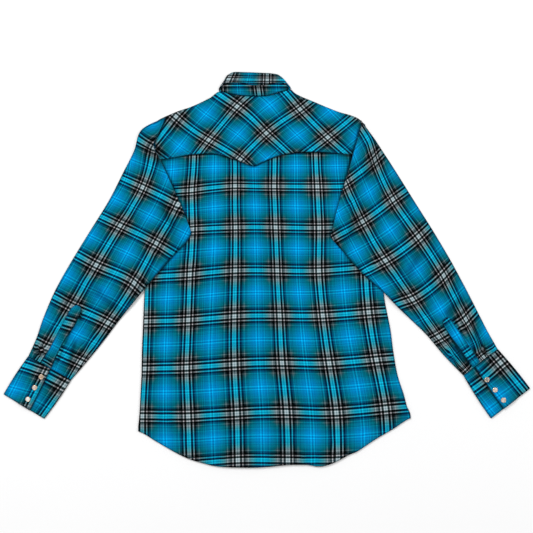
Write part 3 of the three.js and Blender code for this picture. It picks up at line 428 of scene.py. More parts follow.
def brushed_check(name):
    """Brushed cotton twill woven in the check: warp and weft yarns of the same sett, averaged."""
    finish, tree = new_finish(name)
    place = put(tree, "ShaderNodeUVMap", uv_map="check").outputs["UV"]
    split = put(tree, "ShaderNodeSeparateXYZ", {"Vector": place})
    object_place = put(tree, "ShaderNodeTexCoord").outputs["Object"]
    yarns = []
    for axis in ("X", "Y"):
        along = split.outputs[axis]
        fold = put(tree, "ShaderNodeMath", {0: along, 1: 0.5}, operation="PINGPONG")
        doubled = put(tree, "ShaderNodeMath", {0: fold.outputs[0], 1: 2.0}, operation="MULTIPLY")
        ramp = put(tree, "ShaderNodeValToRGB", {"Fac": doubled.outputs[0]})
        stops = ramp.color_ramp.elements
        while len(stops) < len(SETT):
            stops.new(0.5)
        for stop, (spot, red, green, blue) in zip(stops, SETT):
            stop.position = spot * 2
            stop.color = [(value + SETT_FLOOR) / SETT_SPAN for value in (red, green, blue)] + [1]
        streak = put(tree, "ShaderNodeTexNoise", {"W": along, "Scale": STREAKS_A_REPEAT, "Detail": 1.0},
                     noise_dimensions="1D").outputs["Fac"]
        slub = put(tree, "ShaderNodeMapRange",
                   {"Value": streak, 1: 0.25, 2: 0.75, 3: -STREAK_DEPTH, 4: STREAK_DEPTH})
        yarns.append(put(tree, "ShaderNodeVectorMath", {0: ramp.outputs["Color"], 1: slub.outputs[0]},
                         operation="ADD").outputs[0])
    diagonal = put(tree, "ShaderNodeMath", {0: split.outputs["X"], 1: split.outputs["Y"]}, operation="ADD")
    turns = put(tree, "ShaderNodeMath", {0: diagonal.outputs[0], 1: YARNS_A_REPEAT * math.tau},
                operation="MULTIPLY")
    twill = put(tree, "ShaderNodeMath", {0: turns.outputs[0]}, operation="SINE")
    share = put(tree, "ShaderNodeMapRange", {"Value": twill.outputs[0], 1: -1.0, 2: 1.0,
                                             3: 0.5 - TWILL_SHARE, 4: 0.5 + TWILL_SHARE})
    woven = put(tree, "ShaderNodeMix", {0: share.outputs[0], 6: yarns[0], 7: yarns[1]}, data_type="RGBA")
    seen = put(tree, "ShaderNodeVectorMath", {
        0: woven.outputs[2],
        1: (SETT_SPAN / 255,) * 3,
        2: (-SETT_FLOOR / 255,) * 3,
    }, operation="MULTIPLY_ADD")
    nap = put(tree, "ShaderNodeTexNoise",
              {"Vector": object_place, "Scale": NAP_SCALE, "Detail": 2.0}).outputs["Fac"]
    blotch = put(tree, "ShaderNodeTexNoise",
                 {"Vector": object_place, "Scale": BLOTCH_SCALE, "Detail": 2.0}).outputs["Fac"]
    nap_tone = put(tree, "ShaderNodeMapRange", {"Value": nap, 1: 0.3, 2: 0.7, 3: 0.89, 4: 0.99})
    blotch_tone = put(tree, "ShaderNodeMapRange", {"Value": blotch, 1: 0.3, 2: 0.7, 3: 0.97, 4: 1.03})
    # Painted shade, read from its own map: it darkens the cloth along edges, in creases, under the yoke's
    # edge and beside pieces that lie over it.
    painted_shade_split = put(tree, "ShaderNodeSeparateXYZ", {
        "Vector": put(tree, "ShaderNodeUVMap", uv_map="wear").outputs["UV"],
    })
    painted_shade_tone = put(tree, "ShaderNodeMapRange", {"Value": painted_shade_split.outputs["X"], 3: 1.0, 4: PAINTED_SHADE_DARKEST})
    even = put(tree, "ShaderNodeMath", {0: nap_tone.outputs[0], 1: blotch_tone.outputs[0]},
               operation="MULTIPLY")
    tone = put(tree, "ShaderNodeMath", {0: even.outputs[0], 1: painted_shade_tone.outputs[0]}, operation="MULTIPLY")
    toned = put(tree, "ShaderNodeVectorMath", {0: seen.outputs[0], "Scale": tone.outputs[0]},
                operation="SCALE")
    kept = put(tree, "ShaderNodeVectorMath", {0: toned.outputs[0], 1: (0, 0, 0)}, operation="MAXIMUM")
    dyed = put(tree, "ShaderNodeGamma", {"Color": kept.outputs[0], "Gamma": 2.2})
    ribs = put(tree, "ShaderNodeMath", {0: twill.outputs[0], 1: 0.35, 2: 0.0}, operation="MULTIPLY_ADD")
    fuzz = put(tree, "ShaderNodeMath", {0: nap, 1: 1.6, 2: ribs.outputs[0]}, operation="MULTIPLY_ADD")
    bump = put(tree, "ShaderNodeBump", {"Height": fuzz.outputs[0], "Strength": 0.35, "Distance": 0.00025})
    cloth = put(tree, "ShaderNodeBsdfPrincipled", {
        "Base Color": dyed.outputs[0],
        "Roughness": 0.95,
        "Specular IOR Level": 0.02,
        "Sheen Weight": 0.02,
        "Sheen Roughness": 0.6,
        "Sheen Tint": (0.55, 0.85, 1.0, 1.0),
        "Normal": bump.outputs[0],
    })
    put(tree, "ShaderNodeOutputMaterial", {"Surface": cloth.outputs[0]})
    return finish


def over_collar(x, y):
    """How far the cloth steps up over the collar's hidden points."""
    return LAYER * (1 - ease(*COLLAR_REACH, np.hypot(x - NECK_X, y - NECK_Y)))


def under_back(x, y):
    """The underside of what lies on the fronts."""
    crown = BACK_CROWN * (1 - np.minimum(np.abs(x) / CROWN_HALF_WIDTH, 1) ** 2) ** 2
    near_shoulder = ease(0, SHOULDER_FADE, SHOULDER_PEAK_Y - SHOULDER_SLOPE * np.abs(x - NECK_X) - y)
    clear = 1 - ease(*ARMPIT_FADE, y - ARMPIT_SLOPE * (ARMPIT_X - np.abs(x)))
    folds = ridges(BACK_FOLDS, x, y) * np.maximum(clear, 1 - ease(*SIDE_FADE, np.abs(x)))
    return LAYER + crown * near_shoulder + over_collar(x, y) + folds * (1 - ease(*FOLDS_FADE, y))


def yoke_edge(x):
    """The yoke's lower edge."""
    return column(YOKE_EDGE, 0, 1, x)


def hem_line(x):
    """The lower edge of the shirt-tail hem."""
    return column(HEM, 0, 1, x)


def body_side(y, side):
    """The body's side seam."""
    return column(BODY_SIDES, 0, 1 if side == "left" else 2, y)


def over_back(x, y):
    """The middle of the back's cloth, with its turned-up hem and its creases."""
    from_hem = y - hem_line(x)
    turned = HEM_RAISE * (1 - ease(HEM_WIDTH - HEM_SOFTNESS, HEM_WIDTH + HEM_SOFTNESS, from_hem))
    sunk = SEAM_SINK * np.exp(-((from_hem - HEM_WIDTH) / HEM_SINK_WIDTH) ** 2)
    creases = np.maximum(ridges(BACK_CREASES, x, y), -DEEPEST_CREASE) * (1 - ease(*CREASES_FADE, y))
    return under_back(x, y) + CLOTH / 2 + turned - sunk + creases


def on_top(surface, x, y):
    """A path on top of a piece of cloth, from the function that gives its middle."""
    return np.stack([x, y, surface(x, y) + CLOTH / 2], axis=-1)


def sewing_thread():
    """Spun polyester thread, dark blue, with its twist as a fine bump."""
    finish, tree = new_finish("sewing_thread")
    place = put(tree, "ShaderNodeTexCoord").outputs["Object"]
    spun = put(tree, "ShaderNodeTexNoise", {"Vector": place, "Scale": 2600.0, "Detail": 1.0}).outputs["Fac"]
    tone = put(tree, "ShaderNodeMix", {0: spun, 6: (0.006, 0.05, 0.10, 1), 7: (0.02, 0.13, 0.20, 1)},
               data_type="RGBA")
    twist = put(tree, "ShaderNodeBump", {"Height": spun, "Strength": 0.5, "Distance": 0.0001})
    strand = put(tree, "ShaderNodeBsdfPrincipled", {
        "Base Color": tone.outputs[2], "Roughness": 0.6, "Specular IOR Level": 0.2,
        "Normal": twist.outputs[0],
    })
    put(tree, "ShaderNodeOutputMaterial", {"Surface": strand.outputs[0]})
    return finish


thread = sewing_thread()


def sewn_rows(name, paths):
    """Rows of lock stitches along paths on the cloth: each a short strand that dips in at both ends."""
    shape = np.array(STITCH_SHAPE)
    strands = []
    for path in paths:
        far = np.insert(np.cumsum(np.linalg.norm(np.diff(path, axis=0), axis=1)), 0, 0.0)
        starts = np.arange(STITCH_GAP, far[-1] - STITCH_LENGTH, STITCH_LENGTH + STITCH_GAP)
        stations = starts[:, None] + shape[:, 0] * STITCH_LENGTH
        strands.append(np.stack([np.interp(stations, far, path[:, i]) for i in range(3)], axis=-1))
    stitches = np.concatenate(strands)
    along = stitches[:, -1] - stitches[:, 0]
    along /= np.linalg.norm(along, axis=1, keepdims=True)
    sides = np.cross(along, (0.0, 0.0, 1.0))
    sides /= np.linalg.norm(sides, axis=1, keepdims=True)
    tops = np.cross(sides, along)
    middle = stitches + tops[:, None] * shape[None, :, 1, None]
    turn = (np.arange(THREAD_SIDES) * math.tau / THREAD_SIDES)[None, None, :, None]
    ring = np.cos(turn) * sides[:, None, None] + np.sin(turn) * tops[:, None, None]
    points = middle[:, :, None] + THREAD_RADIUS * shape[None, :, 2, None, None] * ring
    index = np.arange(len(stitches) * len(shape) * THREAD_SIDES).reshape(-1, len(shape), THREAD_SIDES)
    beside = np.roll(index, -1, axis=2)
    quads = np.stack([index[:, :-1], beside[:, :-1], beside[:, 1:], index[:, 1:]], axis=-1)
    caps = index[:, 0, ::-1].tolist() + index[:, -1].tolist()
    mesh = bpy.data.meshes.new(name)
    mesh.from_pydata((points.reshape(-1, 3) * MM).tolist(), [], quads.reshape(-1, 4).tolist() + caps)
    mesh.shade_smooth()
    mesh.materials.append(thread)
    rows = bpy.data.objects.new(name, mesh)
    bpy.context.scene.collection.objects.link(rows)
    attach(rows, "root")


flannel = brushed_check("brushed_check_flannel")

u, v = np.meshgrid(rim_steps(BACK_COLUMNS, BACK_WIDTH, EDGE_ROLL),
                   rim_steps(BACK_ROWS, BACK_LENGTH, EDGE_ROLL))
hem_x = HEM[0][0] + (HEM[-1][0] - HEM[0][0]) * u
hem_y = hem_line(hem_x)
top_x = body_side(YOKE_LEVEL, "left") * (1 - u) + body_side(YOKE_LEVEL, "right") * u
back_y = hem_y + (yoke_edge(top_x) + YOKE_TUCK - hem_y) * v
side_y = np.maximum(back_y, HEM[0][1] + (HEM[-1][1] - HEM[0][1]) * u)
back_x = hem_x + (body_side(side_y, "left") * (1 - u) + body_side(side_y, "right") * u - hem_x) \
    * ease(0, HEM_SIDE_DROP, back_y - hem_y)
# Painted shade on the back: a shadow just below the yoke's edge, and dark lines by the armholes.
under_yoke_edge = 1 - ease(*YOKE_SHADE_WIDTH, yoke_edge(back_x) - back_y)
back = cloth_piece("back_panel", np.stack([back_x, back_y, over_back(back_x, back_y)], axis=-1),
                   lay_check(BACK_CROSSINGS, *tugs(BACK_CREASES, back_x, back_y)), CLOTH,
                   painted_shade=np.maximum(YOKE_SHADE * under_yoke_edge, ridges(BACK_PAINTED_SHADE, back_x, back_y)))
back.data.materials.append(flannel)
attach(back, "root")
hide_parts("back")

hem_stitch_x = np.linspace(HEM[0][0] + HEM_STITCH_INSET, HEM[-1][0] - HEM_STITCH_INSET, SEAM_POINTS)
hem_stitch_y = hem_line(hem_stitch_x) + HEM_STITCH
sewn_rows("hem_stitching", [on_top(over_back, hem_stitch_x, hem_stitch_y)])


# The yoke: cut on the bias, its lower edge turned under and stitched down over the back's top edge,
# dipping to one point. It covers the shoulders up to the neck seam.
YOKE_LEFT = -240
YOKE_RIGHT = 212
YOKE_STITCH = 2.2
YOKE_SECOND_STITCH = 8.0
YOKE_STITCH_LEFT = -228
YOKE_STITCH_RIGHT = 184
YOKE_SINK_WIDTH = 1.1
YOKE_TURN_RAISE = 0.3
YOKE_TURN_END = (3, 9)
YOKE_DEPTH = 130
YOKE_COLUMNS = 150
YOKE_ROWS = 52
TUCK_END = (20, 56)
# The neck seam: where the yoke dips under the stand, from the edge in, and from its left to its right end.
NECK_DIP = 1.1
NECK_DIP_WIDTH = (1.0, 5.0)
NECK_LEFT = (-106, -98)
NECK_RIGHT = (47, 54)
TOP_EDGE = [
    # x, y
    (-262, 308), (-227, 327), (-190, 343), (-163, 352), (-122, 371), (-103, 384.5), (-81, 381), (-57, 377),
    (-26, 374.5), (3, 376.5), (26, 383), (51.5, 389), (60, 381.5), (76, 373), (95, 365.5), (136, 348.5),
    (157, 340.5), (180, 334), (197, 327), (206, 319), (220, 308),
]
YOKE_CREASES = [
    # x0, y0, x1, y1, wide, high
    (-222, 252, -206, 292, 7, 1.6), (-205, 250, -192, 290, 6, -0.9), (-228, 280, -196, 322, 8, 0.9),
    (-150, 330, -60, 276, 12, 0.5), (-20, 340, 20, 276, 12, 0.5), (60, 330, 120, 280, 12, 0.5),
    (150, 300, 190, 268, 9, 0.7), (-120, 262, -92, 300, 9, -0.4), (-52, 240, -30, 262, 7, 0.5),
    (-8, 236, 2, 268, 7, -0.4), (80, 258, 84, 290, 9, 0.4), (176, 250, 170, 290, 8, -0.5),
]
# Painted shade on the yoke: dark lines along the armhole seams and at the curled lower-left corner.
YOKE_PAINTED_SHADE = [
    # x0, y0, x1, y1, wide, amount
    (-218, 326, -246, 272, 3.4, 0.9), (-246, 276, -224, 238, 3.6, 1.0), (-228, 262, -216, 246, 3.0, 0.7),
    (203, 320, 197, 290, 3.0, 0.8), (199, 300, 182, 240, 3.2, 0.9),
]
YOKE_CROSSINGS = [
    # warp stripe, weft stripe, x, y
    (0, 0, -64.2, 352), (0, 1, -1, 294.5), (-1, 0, -125.1, 280), (-1, -1, -195.6, 331), (-1, 1, -57, 238),
    (1, 1, 71.6, 346), (1, 2, 131.1, 286), (-0.5, -0.5, -130, 335.9), (-1.5, -0.5, -187, 266.3),
    (0.5, 0.5, 6, 355.9), (-0.5, 0.5, -62.6, 292.4), (0.5, 1.5, 65, 290.3), (1.5, 1.5, 137.1, 344.5),
]


def yoke_lift(x, y):
    """How far the yoke is lifted by the back's top edge under it."""
    return LAYER * (1 - ease(*TUCK_END, y - yoke_edge(x)))


def over_yoke(x, y):
    """The middle of the yoke's cloth, with its turned-under edge. It dips where the stand is sewn on."""
    from_edge = y - yoke_edge(x)
    turned = YOKE_TURN_RAISE * (1 - ease(*YOKE_TURN_END, from_edge))
    sunk = SEAM_SINK * np.exp(-((from_edge - YOKE_STITCH) / YOKE_SINK_WIDTH) ** 2)
    at_neck = 1 - ease(*NECK_DIP_WIDTH, column(TOP_EDGE, 0, 1, x) - y)
    at_neck *= ease(*NECK_LEFT, x) * (1 - ease(*NECK_RIGHT, x))
    lie = under_back(x, y) + yoke_lift(x, y) + CLOTH / 2
    return lie + ridges(YOKE_CREASES, x, y) + turned - sunk - NECK_DIP * at_neck


u, v = np.meshgrid(rim_steps(YOKE_COLUMNS, YOKE_RIGHT - YOKE_LEFT, EDGE_ROLL),
                   rim_steps(YOKE_ROWS, YOKE_DEPTH, EDGE_ROLL))
yoke_x = YOKE_LEFT + (YOKE_RIGHT - YOKE_LEFT) * u
yoke_low = yoke_edge(yoke_x)
yoke_y = yoke_low + (column(TOP_EDGE, 0, 1, yoke_x) - yoke_low) * v
yoke = cloth_piece("yoke_panel", np.stack([yoke_x, yoke_y, over_yoke(yoke_x, yoke_y)], axis=-1),
                   lay_check(YOKE_CROSSINGS, *tugs(YOKE_CREASES, yoke_x, yoke_y)), CLOTH,
                   painted_shade=ridges(YOKE_PAINTED_SHADE, yoke_x, yoke_y))
yoke.data.materials.append(flannel)
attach(yoke, "root")
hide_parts("back_yoke")

yoke_stitch_x = np.linspace(YOKE_STITCH_LEFT, YOKE_STITCH_RIGHT, SEAM_POINTS)
yoke_rows = []
for from_edge in (YOKE_STITCH, YOKE_SECOND_STITCH):
    yoke_rows.append(on_top(over_yoke, yoke_stitch_x, yoke_edge(yoke_stitch_x) + from_edge))
sewn_rows("yoke_stitching", yoke_rows)


# The two fronts, hidden under the back: plain cut panels of the same flannel that lie on the table.
# The right one laps over the left one by the width of the snap band.
FRONT_LAP = 36
LAP_RISE_FROM = 2
LAP_RISE_WIDTH = 14
FRONT_WIDTH = 280
FRONT_LENGTH = 720
FRONT_COLUMNS = 60
FRONT_ROWS = 110
SIDE_INSET = 2
HEM_INSET = 5
SETTLING_ROUNDS = 6
CENTRE_FRONT = [
    # y, x
    (-427, 14), (300, -26),
]
FRONT_NECK = [
    # x, y
    (-103, 383), (-92, 336), (-70, 311), (-45, 299), (-26, 296), (-7, 299), (18, 312), (40, 338),
    (51.5, 386),
]
REPEAT = 97.0


def straight(table, at):
    """Reads a table of two columns along straight lines."""
    keys, values = zip(*table)
    return np.interp(at, keys, values)


def centre_front(y):
    """The line down the middle of the fronts."""
    return straight(CENTRE_FRONT, y)


for side, toward in (("left", 1), ("right", -1)):
    u, v = np.meshgrid(rim_steps(FRONT_COLUMNS, FRONT_WIDTH, EDGE_ROLL),
                       rim_steps(FRONT_ROWS, FRONT_LENGTH, EDGE_ROLL))
    front_x = np.zeros_like(u)
    front_y = np.zeros_like(u)
    for _ in range(SETTLING_ROUNDS):
        middle_x = centre_front(front_y) + toward * FRONT_LAP / 2
        edge_x = body_side(front_y, side) + toward * SIDE_INSET
        front_x = edge_x + (middle_x - edge_x) * u
        in_neck = (front_x > FRONT_NECK[0][0]) & (front_x < FRONT_NECK[-1][0])
        shoulder = straight(TOP_EDGE, front_x) - SIDE_INSET
        front_top = np.where(in_neck, straight(FRONT_NECK, front_x), shoulder)
        front_low = straight(HEM, front_x) + HEM_INSET
        front_y = front_low + (front_top - front_low) * v
    front_z = CLOTH / 2 + over_collar(front_x, front_y)
    if side == "right":
        from_centre = front_x - centre_front(front_y)
        past_lap = from_centre - FRONT_LAP / 2
        front_z = front_z + LAYER * (1 - ease(LAP_RISE_FROM, LAP_RISE_WIDTH, past_lap))
        front_x, front_y, front_z = (part[:, ::-1] for part in (front_x, front_y, front_z))
    front = cloth_piece(f"front_panel_{side}", np.stack([front_x, front_y, front_z], axis=-1),
                        np.stack([front_x / REPEAT, front_y / REPEAT], axis=-1), CLOTH)
    front.data.materials.append(flannel)
    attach(front, "root")
    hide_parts(f"front_{side}")


# The sleeves: a tube each, laid flat and folded at its two long edges, sewn into the armhole and
# gathered a little into the cuff. They lie on the body's edge and slope down to the table beyond it.
SLEEVES = {
    # outer x, outer y, inner x, inner y, a row for each section from the armhole to the cuff
    "left": [
        (-217, 328, -164, 84), (-268.5, 302, -163, 78), (-284.5, 258, -175, 58), (-307, 214, -196, 37),
        (-339, 151, -222, 9), (-378.5, 87, -250, -24), (-418.5, 22, -283, -64), (-454.5, -42, -318, -107),
        (-480.5, -102, -352, -152), (-496, -147, -386, -194), (-513, -185, -422, -236),
    ],
    "right": [
        (202, 322.5, 137, 72), (217.5, 301, 146, 61), (248, 258, 164, 41), (276, 215, 184, 17),
        (316, 151, 212, -13), (357, 86, 245.5, -41), (395, 22, 277, -73.5), (429.5, -42, 312, -107),
        (456, -94, 345, -139), (475.5, -132, 384, -185), (497, -170, 424, -226),
    ],
}
SEAM_BOW = {
    # across, out
    "left": [(0, 0), (0.07, 12.5), (0.135, 25), (0.185, 36.5), (0.235, 38), (0.31, 32.5), (0.44, 25),
             (0.62, 15.5), (0.85, 4), (1, 0)],
    "right": [(0, 0), (0.04, 4), (0.12, 3.2), (0.3, 2), (0.5, 1), (0.75, -2), (1, 0)],
}
SLEEVE_FULLNESS = [(0, 0.4), (0.12, 2.6), (0.35, 3.4), (0.6, 3.0), (0.85, 3.4), (1, 1.3)]
SLEEVE_FOLDS = {
    # x0, y0, x1, y1, wide, high
    "left": [
        (-300, 160, -225, 70, 15, 3.2), (-262, 235, -212, 120, 14, 2.6), (-330, -40, -425, -20, 14, 3.0),
        (-375, -125, -440, -45, 12, 2.6), (-480, -168, -462, -125, 8, 2.4), (-440, -215, -412, -165, 8, 2.4),
    ],
    "right": [
        (262, 160, 205, 60, 15, 3.2), (226, 240, 186, 120, 14, 2.6), (300, -30, 395, -15, 14, 2.8),
        (402, -62, 458, -170, 10, 3.0), (352, -112, 404, -188, 10, 2.4), (482, -158, 462, -112, 8, 2.2),
    ],
}
SLEEVE_CREASES = {
    # x0, y0, x1, y1, wide, high
    "left": [
        (-250, 290, -216, 250, 8, 1.2), (-262, 268, -224, 226, 7, -1.2), (-206, 190, -182, 110, 8, 1.4),
        (-226, 150, -196, 80, 8, -1.1), (-330, 130, -262, 60, 10, 0.9), (-250, 60, -228, 20, 8, 1.4),
        (-290, 0, -262, -30, 7, 1.2), (-410, 10, -352, -10, 9, 1.0), (-372, -40, -318, -88, 9, -1.2),
        (-440, -60, -405, -78, 8, -1.0), (-470, -100, -428, -148, 7, 1.4), (-392, -140, -402, -190, 6, 1.6),
        (-412, -150, -424, -206, 5, -1.6), (-430, -150, -446, -214, 6, 1.4),
        (-458, -150, -474, -204, 5, -1.5), (-492, -150, -500, -190, 5, 1.3),
        (-376, -176, -396, -212, 5, 1.4), (-360, -120, -380, -170, 7, 1.2), (-397, -82, -401, -110, 3, -2.0),
        (-409, -110, -428, -142, 3, -2.0), (-424, -136, -452, -206, 3, -2.0),
        (-492, -162, -486, -186, 2.6, -2.2), (-482, -160, -478, -184, 2.6, -1.8),
    ],
    "right": [
        (214, 280, 196, 230, 7, 1.1), (236, 250, 206, 190, 8, -1.0), (182, 160, 160, 90, 8, 1.4),
        (200, 120, 168, 60, 8, -1.1), (300, 120, 226, 50, 10, 0.9), (236, 20, 214, -6, 7, 1.3),
        (290, 20, 250, -30, 9, 1.1), (330, 40, 300, -20, 9, -1.0), (392, 20, 340, -40, 10, 1.0),
        (420, -60, 382, -100, 8, -1.2), (336, -100, 372, -150, 7, 1.5), (392, -120, 420, -190, 6, -1.7),
        (418, -110, 440, -186, 6, 1.5), (440, -110, 462, -180, 5, -1.4), (470, -130, 486, -176, 5, 1.3),
        (378, -150, 404, -204, 5, 1.5), (396, -176, 414, -216, 5, -1.2), (360, -120, 340, -134, 6, 1.2),
        (379, -112, 393, -138, 3, -1.4), (391, -134, 404, -156, 3.4, -2.8),
        (401, -150, 440, -208, 3.4, -2.8), (399, -100, 428, -148, 3.4, -1.6),
        (424, -140, 454, -188, 3.2, -1.6), (466, -160, 474, -184, 3, -2.2),
    ],
}
SLEEVE_CROSSINGS = {
    # warp stripe, weft stripe, x, y
    "left": [
        (0, 0, -241, 263), (-0.5, -0.5, -247, 314), (-0.15, -0.45, -218, 325), (-0.15, -0.25, -234.5, 290),
        (-0.45, -0.17, -269.5, 298.6), (-0.4, 0, -275.5, 281), (0, 0.48, -249.7, 224.1),
        (0, 1, -266.5, 177.9), (1, 1, -190.5, 140.9), (0, 2, -314.9, 96.5), (1, 2, -237, 57.9),
        (0, 3, -367, 10.9), (1, 3, -284.1, -27),
        (0, 4, -418.4, -77.5), (1, 4, -341.6, -113.1), (0, 5, -471.6, -166.1), (1, 5, -400.6, -198.6),
        (-0.58, 1, -309.9, 197.5), (-0.55, 2, -357.9, 116.5), (-0.49, 3, -406, 32.2),
        (-0.48, 4, -458.4, -56.9), (1.53, 2, -196, 33.2), (1.25, 3, -267.2, -43.8),
    ],
    "right": [
        (0, 0.25, 204.8, 301.5), (0, 0.55, 217.7, 280), (0, 1, 232, 237.5), (1, 1, 167.8, 186.4),
        (-0.27, 1, 247.8, 254.2), (0, 2, 271, 152.5), (1, 2, 205.5, 104.4), (-0.42, 2, 299.4, 172.5),
        (1.68, 2, 157.5, 76.6), (0, 3, 326.5, 72.4), (1, 3, 254.5, 20.9), (-0.38, 3, 351, 95.1),
        (1.55, 3, 211.2, -1.6), (0, 4, 379.9, -11.3), (1, 4, 313.1, -62.5), (-0.27, 4, 396.1, 4.8),
        (1.39, 4, 282.2, -72.6), (0, 5, 427.1, -105.5), (1, 5, 369.1, -143.3), (-0.42, 5, 449.9, -83.3),
        (0, 5.58, 453.3, -158.6), (0.02, 5.85, 458.5, -177), (1, 5.52, 402.6, -184.4),
        (1, 6.02, 434.8, -223),
    ],
}
BOW_FADE = 0.14
BOW_OUT = (0.97, 0.25)
SLEEVE_WIDTH = 120
SLEEVE_LENGTH = 660
SLEEVE_ROWS = 150
UPPER_COLUMNS = 62
LOWER_COLUMNS = 24
SLEEVE_CLEARANCE = 0.6
# What the sleeve steps over: the yoke's edge, the end of the tuck under it, and the body's side.
YOKE_STEP = (-34, -12)
TUCK_STEP = (30, 72)
BODY_STEP = (20, 54)
# Shares of the sleeve's width and length over which folds and creases fade in.
FOLD_INSET = (0.02, 0.2)
FOLD_START = (0, 0.1)
CREASE_INSET = (0.0, 0.09)
CREASE_START = (0, 0.05)
DEEPEST_SHARE = 0.8
# How dark the painted shade in the creases' troughs is.
CREASE_PAINTED_SHADE = 0.42
# The folded long edges: their height, how round they are, and the shares of the width where they turn.
EDGE_FOLD = 0.8
FOLD_ROUND = 0.3
FOLD_TURN = 0.0022
FOLD_END = 0.009
# How far in from the folded edges the painted shade reaches.
FOLD_PAINTED_SHADE_WIDTH = 3.2
ARMHOLE_STITCH = 0.011


def sleeve_plan(side, along, across):
    """A place on the laid-out sleeve: along from seam to cuff, across from outer to inner edge."""
    place = along * (len(SLEEVES[side]) - 1)
    rows = np.array(SLEEVES[side], float)
    outer_x, outer_y, inner_x, inner_y = (through(np.arange(len(rows)), rows[:, i], place) for i in range(4))
    bow = column(SEAM_BOW[side], 0, 1, across) * np.exp(-along / BOW_FADE)
    outward = -1 if side == "left" else 1
    x = outer_x + (inner_x - outer_x) * across + outward * bow * BOW_OUT[0]
    y = outer_y + (inner_y - outer_y) * across - bow * BOW_OUT[1]
    return x, y


def under_sleeve(x, y):
    """What the sleeve lies on: the body, and past its edge a slope down to the table."""
    left, right = body_side(y, "left"), body_side(y, "right")
    past = np.maximum(np.maximum(left - x, x - right), 0)
    near_x = np.clip(x, left, right)
    depth = y - yoke_edge(near_x)
    doubled = ease(*YOKE_STEP, depth) * (1 - ease(*TUCK_STEP, depth))
    body_top = under_back(near_x, y) + CLOTH + LAYER * doubled
    return (body_top + SLEEVE_CLEARANCE) * (1 - ease(*BODY_STEP, past))


def between_edges(span, across):
    """From 0 at both long edges of the sleeve to 1 between them."""
    return ease(*span, across) * ease(*span, 1 - across)


def sleeve_upper(side, along, across):
    """The middle of the sleeve's upper wall."""
    x, y = sleeve_plan(side, along, across)
    rise = column(SLEEVE_FULLNESS, 0, 1, along) * np.sqrt(np.maximum(np.sin(np.pi * across), 0))
    folds = ridges(SLEEVE_FOLDS[side], x, y) * between_edges(FOLD_INSET, across) * ease(*FOLD_START, along)
    creases = ridges(SLEEVE_CREASES[side], x, y) * between_edges(CREASE_INSET, across)
    lift = np.maximum(folds + creases * ease(*CREASE_START, along), -rise * DEEPEST_SHARE)
    z = under_sleeve(x, y) + CLOTH / 2 + 2 * EDGE_FOLD + rise + lift
    return np.stack([x, y, z], axis=-1)


def sleeve_lower(side, along, across):
    """The middle of the sleeve's lower wall."""
    x, y = sleeve_plan(side, along, across)
    return np.stack([x, y, under_sleeve(x, y) + CLOTH / 2], axis=-1)


for side in ("left", "right"):
    steps = rim_steps(SLEEVE_ROWS, SLEEVE_LENGTH, EDGE_ROLL)
    upper_across = np.concatenate([[FOLD_END], np.linspace(0.02, 0.98, UPPER_COLUMNS), [1 - FOLD_END]])
    lower_across = np.concatenate([[1 - FOLD_END], np.linspace(0.97, 0.03, LOWER_COLUMNS), [FOLD_END]])
    upper = sleeve_upper(side, *np.meshgrid(steps, upper_across, indexing="ij"))
    lower = sleeve_lower(side, *np.meshgrid(steps, lower_across, indexing="ij"))
    folds = {}
    for name, across in (("outer", 0.0), ("inner", 1.0)):
        away = abs(across - FOLD_TURN)
        turn = []
        for spot, height in ((away, FOLD_ROUND), (across, EDGE_FOLD), (away, 2 * EDGE_FOLD - FOLD_ROUND)):
            edge = sleeve_lower(side, steps[:, None], np.full((1, 1), spot))
            edge[..., 2] += height
            turn.append(edge)
        folds[name] = np.concatenate(turn if name == "outer" else turn[::-1], axis=1)
    ring = np.concatenate([folds["outer"], upper, folds["inner"], lower], axis=1)
    from_fold = np.concatenate([[0, 0, 0], np.minimum(upper_across, 1 - upper_across), [0, 0, 0],
                                np.minimum(lower_across, 1 - lower_across)]) * SLEEVE_WIDTH
    x, y = ring[..., 0], ring[..., 1]
    # Painted shade along the folded edges and in the creases' troughs.
    painted_shade = np.maximum(RIM_PAINTED_SHADE * (1 - ease(0, FOLD_PAINTED_SHADE_WIDTH, from_fold)),
                        -CREASE_PAINTED_SHADE * ridges(SLEEVE_CREASES[side], x, y))
    check = lay_check(SLEEVE_CROSSINGS[side], *tugs(SLEEVE_CREASES[side], x, y))
    if side == "left":
        ring, painted_shade, check = ring[::-1], painted_shade[::-1], check[::-1]
    sleeve = cloth_piece(f"sleeve_tube_{side}", ring, check, CLOTH, ring=True, painted_shade=painted_shade)
    sleeve.data.materials.append(flannel)
    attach(sleeve, "root")
    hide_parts(f"sleeve_{side}")
    armhole = sleeve_upper(side, ARMHOLE_STITCH, np.linspace(0.03, 0.97, 260))
    armhole[:, 2] += CLOTH / 2
    sewn_rows(f"armhole_stitching_{side}", [armhole])


# The sleeve plackets: a tapered strip on each sleeve, folded in at its edges and stitched round the
# vent, with a pointed top. It runs down under the cuff.
PLACKETS = {
    # section, from, to
    "left": [(7.14, 0.375, 0.435), (7.34, 0.325, 0.485), (8, 0.312, 0.482), (9, 0.298, 0.465),
             (9.9, 0.29, 0.535)],
    "right": [(7.6, 0.51, 0.56), (7.74, 0.48, 0.635), (8.1, 0.481, 0.665), (9, 0.485, 0.672),
              (9.9, 0.5, 0.72)],
}
PLACKET_CROSSINGS = {
    # warp stripe, weft stripe, x, y
    "left": [(0.42, 0, -436, -111), (0.14, 0, -413, -117.5), (0.42, 0.5, -464, -158),
             (0.14, 0.5, -440, -170), (0.42, 1, -486, -198), (0.14, 1, -462, -212)],
    "right": [(0.42, 0.5, 415, -134), (0.42, 1, 439, -175), (0.42, 1.5, 470, -213), (0.6, 0.5, 401, -144),
              (0.6, 1, 426, -185), (0.6, 1.5, 456, -223)],
}
PLACKET_LIFT = LAYER + 0.35
PLACKET_LENGTH = 125
PLACKET_WIDTH = 24
